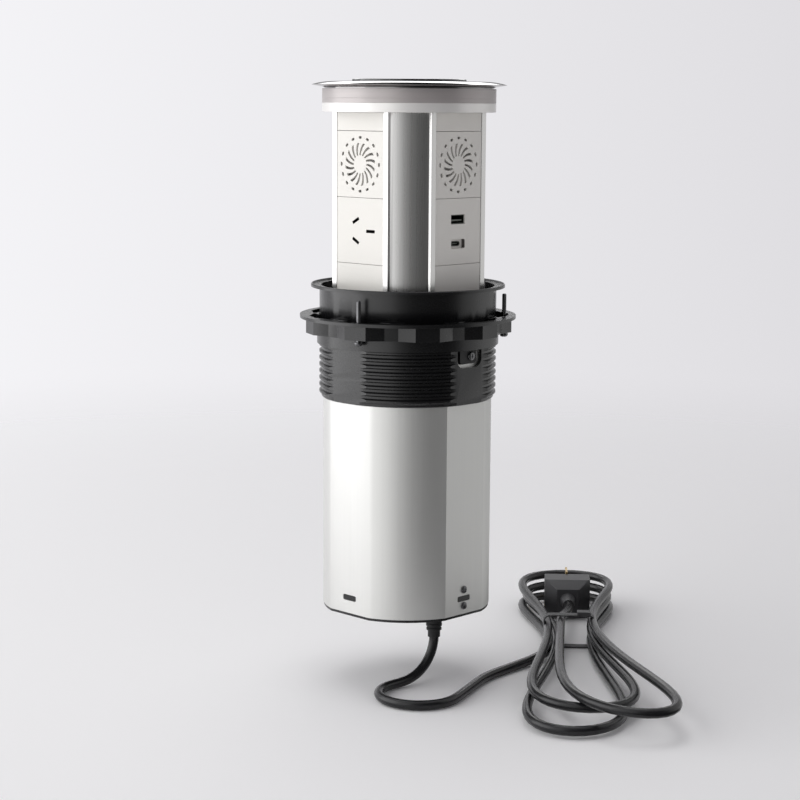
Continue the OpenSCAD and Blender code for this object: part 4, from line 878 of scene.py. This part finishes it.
for node, name in (("usb_a_port", "widePort"), ("usb_c_port", "slimPort")):
    port = dressNode(node, name, "brightSteel", "tower", 0.06, 1)
    low, high = (Vector(v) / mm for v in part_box(node))
    if node == "usb_a_port":
        thinTongue(port, low, high)
    # the inside of each port's shell is painted near-black as painted shade
    paintFaces(port, "paintedPortShade", lambda c, n: insidePort(c, low, high))
    start = low.x + tongue["start"]
    paintFaces(port, "portTongue", lambda c, n: insidePort(c, low, high) and n.x > tongue["outward"] and c.x > start)
print("tower dressed")

# body, collar and clamp ring
for node, name, finish, slot, bevel in (
    ("guide_ring", "guideRing", "guideBlack", "guide_plastic", 0.3),
    ("body_tube", "bodyTube", "bodyAluminium", "body_aluminium", 0.25),
    ("base_cap", "baseCap", "satinBlack", "black_plastic", 0.4),
    ("lock_tab", "lockTab", "guideBlack", "black_plastic", 0.3),
    ("strain_relief", "strainRelief", "guideBlack", "cord_rubber", 0.2),
):
    dressNode(node, name, finish, "housing", bevel)
dressNode("mounting_collar", "mountingCollar", "satinBlack", "housing", 0, angle=12)
dressNode("clamp_ring", "clampRing", "satinBlack", "ring", 0.3, angle=14)
dressNode("clamp_nuts", "clampNuts", "brassMetal", "ring", 0.2)
for n in range(1, 4):
    dressNode(f"clamp_screw_{n}", f"clampScrew{n}", "blackSteel", f"ring_screw_{n}", 0.15)
print("body dressed")


# screws of the body and of the posts: place, facing and head radius, in mm
bracket = {"radius": 55.4, "height": -201.5, "angles": [math.radians(a) for a in (45, 135, 225, 315)]}
post = {"across": (-33.02, 33.02), "ends": ((123.6, 1), (-36.0, -1))}
screws = {
    "housing": [
        ((57.9, 3.0, -44.4), (1, 0, 0), 3.2),  # lock tab
        ((56.3, 0, -208.3), (1, 0, 0), 2.72),  # side of the tube
        ((56.3, 0, -219.8), (1, 0, 0), 2.72),
    ] + [
        ((bracket["radius"] * math.cos(a), bracket["radius"] * math.sin(a), bracket["height"]), (0, 0, 1), 1.6)
        for a in bracket["angles"]
    ],
    "tower": [
        ((x, y, z), (0, 0, facing), 2.8)
        for x in post["across"] for y in post["across"] for z, facing in post["ends"]
    ],
}


def makeScrews(spec):
    pattern = makeScrewPattern(screwHead)
    tree = makeScrewTree()
    for body, node, name, finish in (
        ("housing", "housing_screws", "housingScrews", "blackSteel"),
        ("tower", "post_screws", "postScrews", "brightSteel"),
    ):
        piece = runTree(name, pointCloud(name + "Points", spec[body]), tree, {"Pattern": pattern}, finish)
        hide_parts(node)
        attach(piece, body)
    bpy.data.objects.remove(pattern)


makeScrews(screws)
chips = runTree("lightChips", bpy.data.meshes.new("lightChipsBase"), makeLightTree(), {}, "chipWhite")
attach(chips, "tower")
winding = runTree("coilWinding", bpy.data.meshes.new("coilBase"), makeWindingTree(), {}, "copperWire")
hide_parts("charging_coil")
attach(winding, "tower")
print("node trees run")

# inner solids keep their shape and get a finish
innerFinishes = {
    "groundSteel": ("bracket_plate", "gear_motor", "lead_screw"),
    "brightSteel": ("screw_bearings",),
    "brassMetal": ("lift_nut", "socket_contacts", "drive_pinion"),
    "boardGreen": ("control_board", "charger_board", "led_board", "usb_board"),
    "dullBlack": ("limit_switch", "carriage", "speaker_frames"),
    "ferriteGrey": ("coil_shield", "speaker_magnets"),
    "conePaper": ("speaker_cone_front", "speaker_cone_right"),
    "socketBlackAndSlotShade": ("socket_bodies",),
    "nylonGear": ("screw_gear",),
}
for finish, nodes in innerFinishes.items():
    for node in nodes:
        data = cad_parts[node].data
        data.materials.clear()
        data.materials.append(mats[finish])
print("inner solids:", sum(len(nodes) for nodes in innerFinishes.values()))


# floor, paper, lamps and boards
studio = {
    "floorTone": (0.95, 0.945, 0.95),
    "floorRough": 0.9,
    "floorHalf": 9,  # metres
    "floorGap": 0.0004,  # metres under the cord
    "floorFade": (0.35, 1.7),  # metres from the object over which the floor runs out into the paper
    # painted light: the paper's colour runs lighter on the key lamp's side and darker on the other
    "paintedBackTones": ((0.905, 0.9, 0.925), (0.735, 0.725, 0.75)),  # paper behind, from the lit side to the other
    "backSpread": 0.21,
    "fillLight": 0.5,  # what the background lends to matt surfaces
    "glossLight": 0.95,  # and to reflections
}


def seenOnly(tree, low, gloss):
    # strength that is full for the camera and lower for what lights the object
    path = tree.nodes.new("ShaderNodeLightPath")
    seen = mathNode(tree, "ADD", path.outputs["Is Camera Ray"], path.outputs["Is Transmission Ray"], True)
    direct = mathNode(tree, "MULTIPLY", seen, 1 - low)
    mirrored = mathNode(tree, "MULTIPLY", path.outputs["Is Glossy Ray"], gloss - low)
    return mathNode(tree, "ADD", mathNode(tree, "ADD", direct, mirrored), low, True)


def paintedPaperLight(tree, s):
    # the paper is painted lighter on the side of the key lamp, as painted light in its colour
    a = math.radians(view["turn"])
    facing = tree.nodes.new("ShaderNodeTexCoord")
    side = tree.nodes.new("ShaderNodeVectorMath")
    side.operation = "DOT_PRODUCT"
    side.inputs[1].default_value = (math.cos(a), math.sin(a), 0)
    across = tree.nodes.new("ShaderNodeMapRange")
    across.inputs["From Min"].default_value = -s["backSpread"]
    across.inputs["From Max"].default_value = s["backSpread"]
    tree.links.new(facing.outputs["Object"], side.inputs[0])
    tree.links.new(side.outputs["Value"], across.inputs["Value"])
    return toneNode(tree, s["paintedBackTones"], across.outputs["Result"])


def makeFloorFinish(s):
    mat = bpy.data.materials.new("studioFloor")
    mat.use_nodes = True
    tree = mat.node_tree
    shader = tree.nodes["Principled BSDF"]
    shader.inputs["Base Color"].default_value = (*s["floorTone"], 1)
    shader.inputs["Roughness"].default_value = s["floorRough"]
    shader.inputs["Specular IOR Level"].default_value = 0
    coords = tree.nodes.new("ShaderNodeTexCoord")
    away = tree.nodes.new("ShaderNodeVectorMath")
    away.operation = "LENGTH"
    fade = tree.nodes.new("ShaderNodeMapRange")
    fade.interpolation_type = "SMOOTHSTEP"
    fade.inputs["From Min"].default_value, fade.inputs["From Max"].default_value = s["floorFade"]
    clear = tree.nodes.new("ShaderNodeBsdfTransparent")
    blend = tree.nodes.new("ShaderNodeMixShader")
    tree.links.new(coords.outputs["Object"], away.inputs[0])
    tree.links.new(away.outputs["Value"], fade.inputs["Value"])
    tree.links.new(fade.outputs["Result"], blend.inputs["Fac"])
    tree.links.new(shader.outputs[0], blend.inputs[1])
    tree.links.new(clear.outputs[0], blend.inputs[2])
    tree.links.new(blend.outputs[0], tree.nodes["Material Output"].inputs["Surface"])
    return mat


def makeStage(s):
    mesh = bpy.data.meshes.new("floor")
    h, z = s["floorHalf"], cordSpec["floor"] * mm - s["floorGap"]
    mesh.from_pydata([(-h, -h, z), (h, -h, z), (h, h, z), (-h, h, z)], [], [(0, 1, 2, 3)])
    floor = bpy.data.objects.new("floor", mesh)
    scene.collection.objects.link(floor)
    mesh.materials.append(makeFloorFinish(s))
    world = bpy.data.worlds.new("studio")
    scene.world = world
    world.use_nodes = True
    tree = world.node_tree
    back = tree.nodes["Background"]
    tree.links.new(paintedPaperLight(tree, s), back.inputs["Color"])
    tree.links.new(seenOnly(tree, s["fillLight"], s["glossLight"]), back.inputs["Strength"])
    scene.view_settings.view_transform = "Standard"


def spot(angle, distance, height):
    # angle in degrees round the object, from the camera's side towards its right
    a = math.radians(-90 + view["turn"] + angle)
    return (distance * math.cos(a), distance * math.sin(a), height)


def addLamp(name, place, target, size, power):
    data = bpy.data.lights.new(name, "AREA")
    data.shape = "RECTANGLE"
    data.size, data.size_y = size
    data.energy = power
    lamp = bpy.data.objects.new(name, data)
    lamp.location = place
    lamp.rotation_euler = (Vector(target) - Vector(place)).to_track_quat("-Z", "Y").to_euler()
    scene.collection.objects.link(lamp)


def levelAt(angle, tones):
    for (a, low), (b, high) in zip(tones, tones[1:]):
        if a <= angle <= b:
            return low + (high - low) * ease((angle - a) / (b - a))
    return tones[-1][1]


def makeGlow(name):
    # emission by the level that each point of the board carries
    mat = bpy.data.materials.new(name)
    mat.use_nodes = True
    tree = mat.node_tree
    level = tree.nodes.new("ShaderNodeAttribute")
    level.attribute_name = "level"
    glow = tree.nodes.new("ShaderNodeEmission")
    tree.links.new(level.outputs["Fac"], glow.inputs["Strength"])
    tree.links.new(glow.outputs[0], tree.nodes["Material Output"].inputs["Surface"])
    return mat


def addBoard(name, radius, heights, tones, foot=None):
    # curved board seen only in reflections: tones are (angle, level) pairs,
    # foot is the radius to which it runs in along the floor
    step = 3  # degrees
    angles = range(tones[0][0], tones[-1][0] + 1, step)
    rings = [(radius, heights[0]), (radius, heights[1])]
    if foot:
        rings.insert(0, (foot, heights[0]))
    count = len(rings)
    faces = [(i * count + k, (i + 1) * count + k, (i + 1) * count + k + 1, i * count + k + 1)
             for i in range(len(angles) - 1) for k in range(count - 1)]
    mesh = bpy.data.meshes.new(name)
    mesh.from_pydata([spot(a, r, z) for a in angles for r, z in rings], [], faces)
    mesh.attributes.new("level", "FLOAT", "POINT")
    for i, a in enumerate(angles):
        for k in range(count):
            mesh.attributes["level"].data[i * count + k].value = levelAt(a, tones)
    mesh.materials.append(makeGlow(name))
    board = bpy.data.objects.new(name, mesh)
    scene.collection.objects.link(board)
    board.visible_camera = False
    board.visible_shadow = False
    board.visible_diffuse = False


# places and sizes in metres, power in watts, angles in degrees
lamps = {
    "keyLamp": dict(place=spot(-74, 1.8, 0.35), target=(0, 0, -0.03), size=(3.4, 2.5), power=45),
    "topLamp": dict(place=spot(200, 0.7, 1.8), target=(0, 0, 0), size=(1.4, 1.4), power=9),
}
boards = {
    "frontBoard": dict(
        radius=1.25, heights=(-0.279, 1.6), foot=0.24,
        tones=[(-60, 1.4), (-45, 1.3), (-24, 1.0), (-9, 0.3), (6, 0.1), (30, 0.07), (51, 0.06), (63, 0.12), (75, 0.6),
               (108, 0.82), (129, 0.55), (150, 0.4)]),
    "backGlow": dict(radius=1.6, heights=(0.5, 0.9), tones=[(159, 3.0), (201, 3.0)]),
    "backFoot": dict(radius=1.6, heights=(0.17, 0.4), tones=[(144, 0.25), (216, 0.25)]),
    "backBoard": dict(radius=1.6, heights=(0.9, 2.3), tones=[(144, 0.02), (216, 0.02)]),
}
makeStage(studio)
for name, spec in lamps.items():
    addLamp(name, **spec)
for name, spec in boards.items():
    addBoard(name, **spec)
print("stage made")
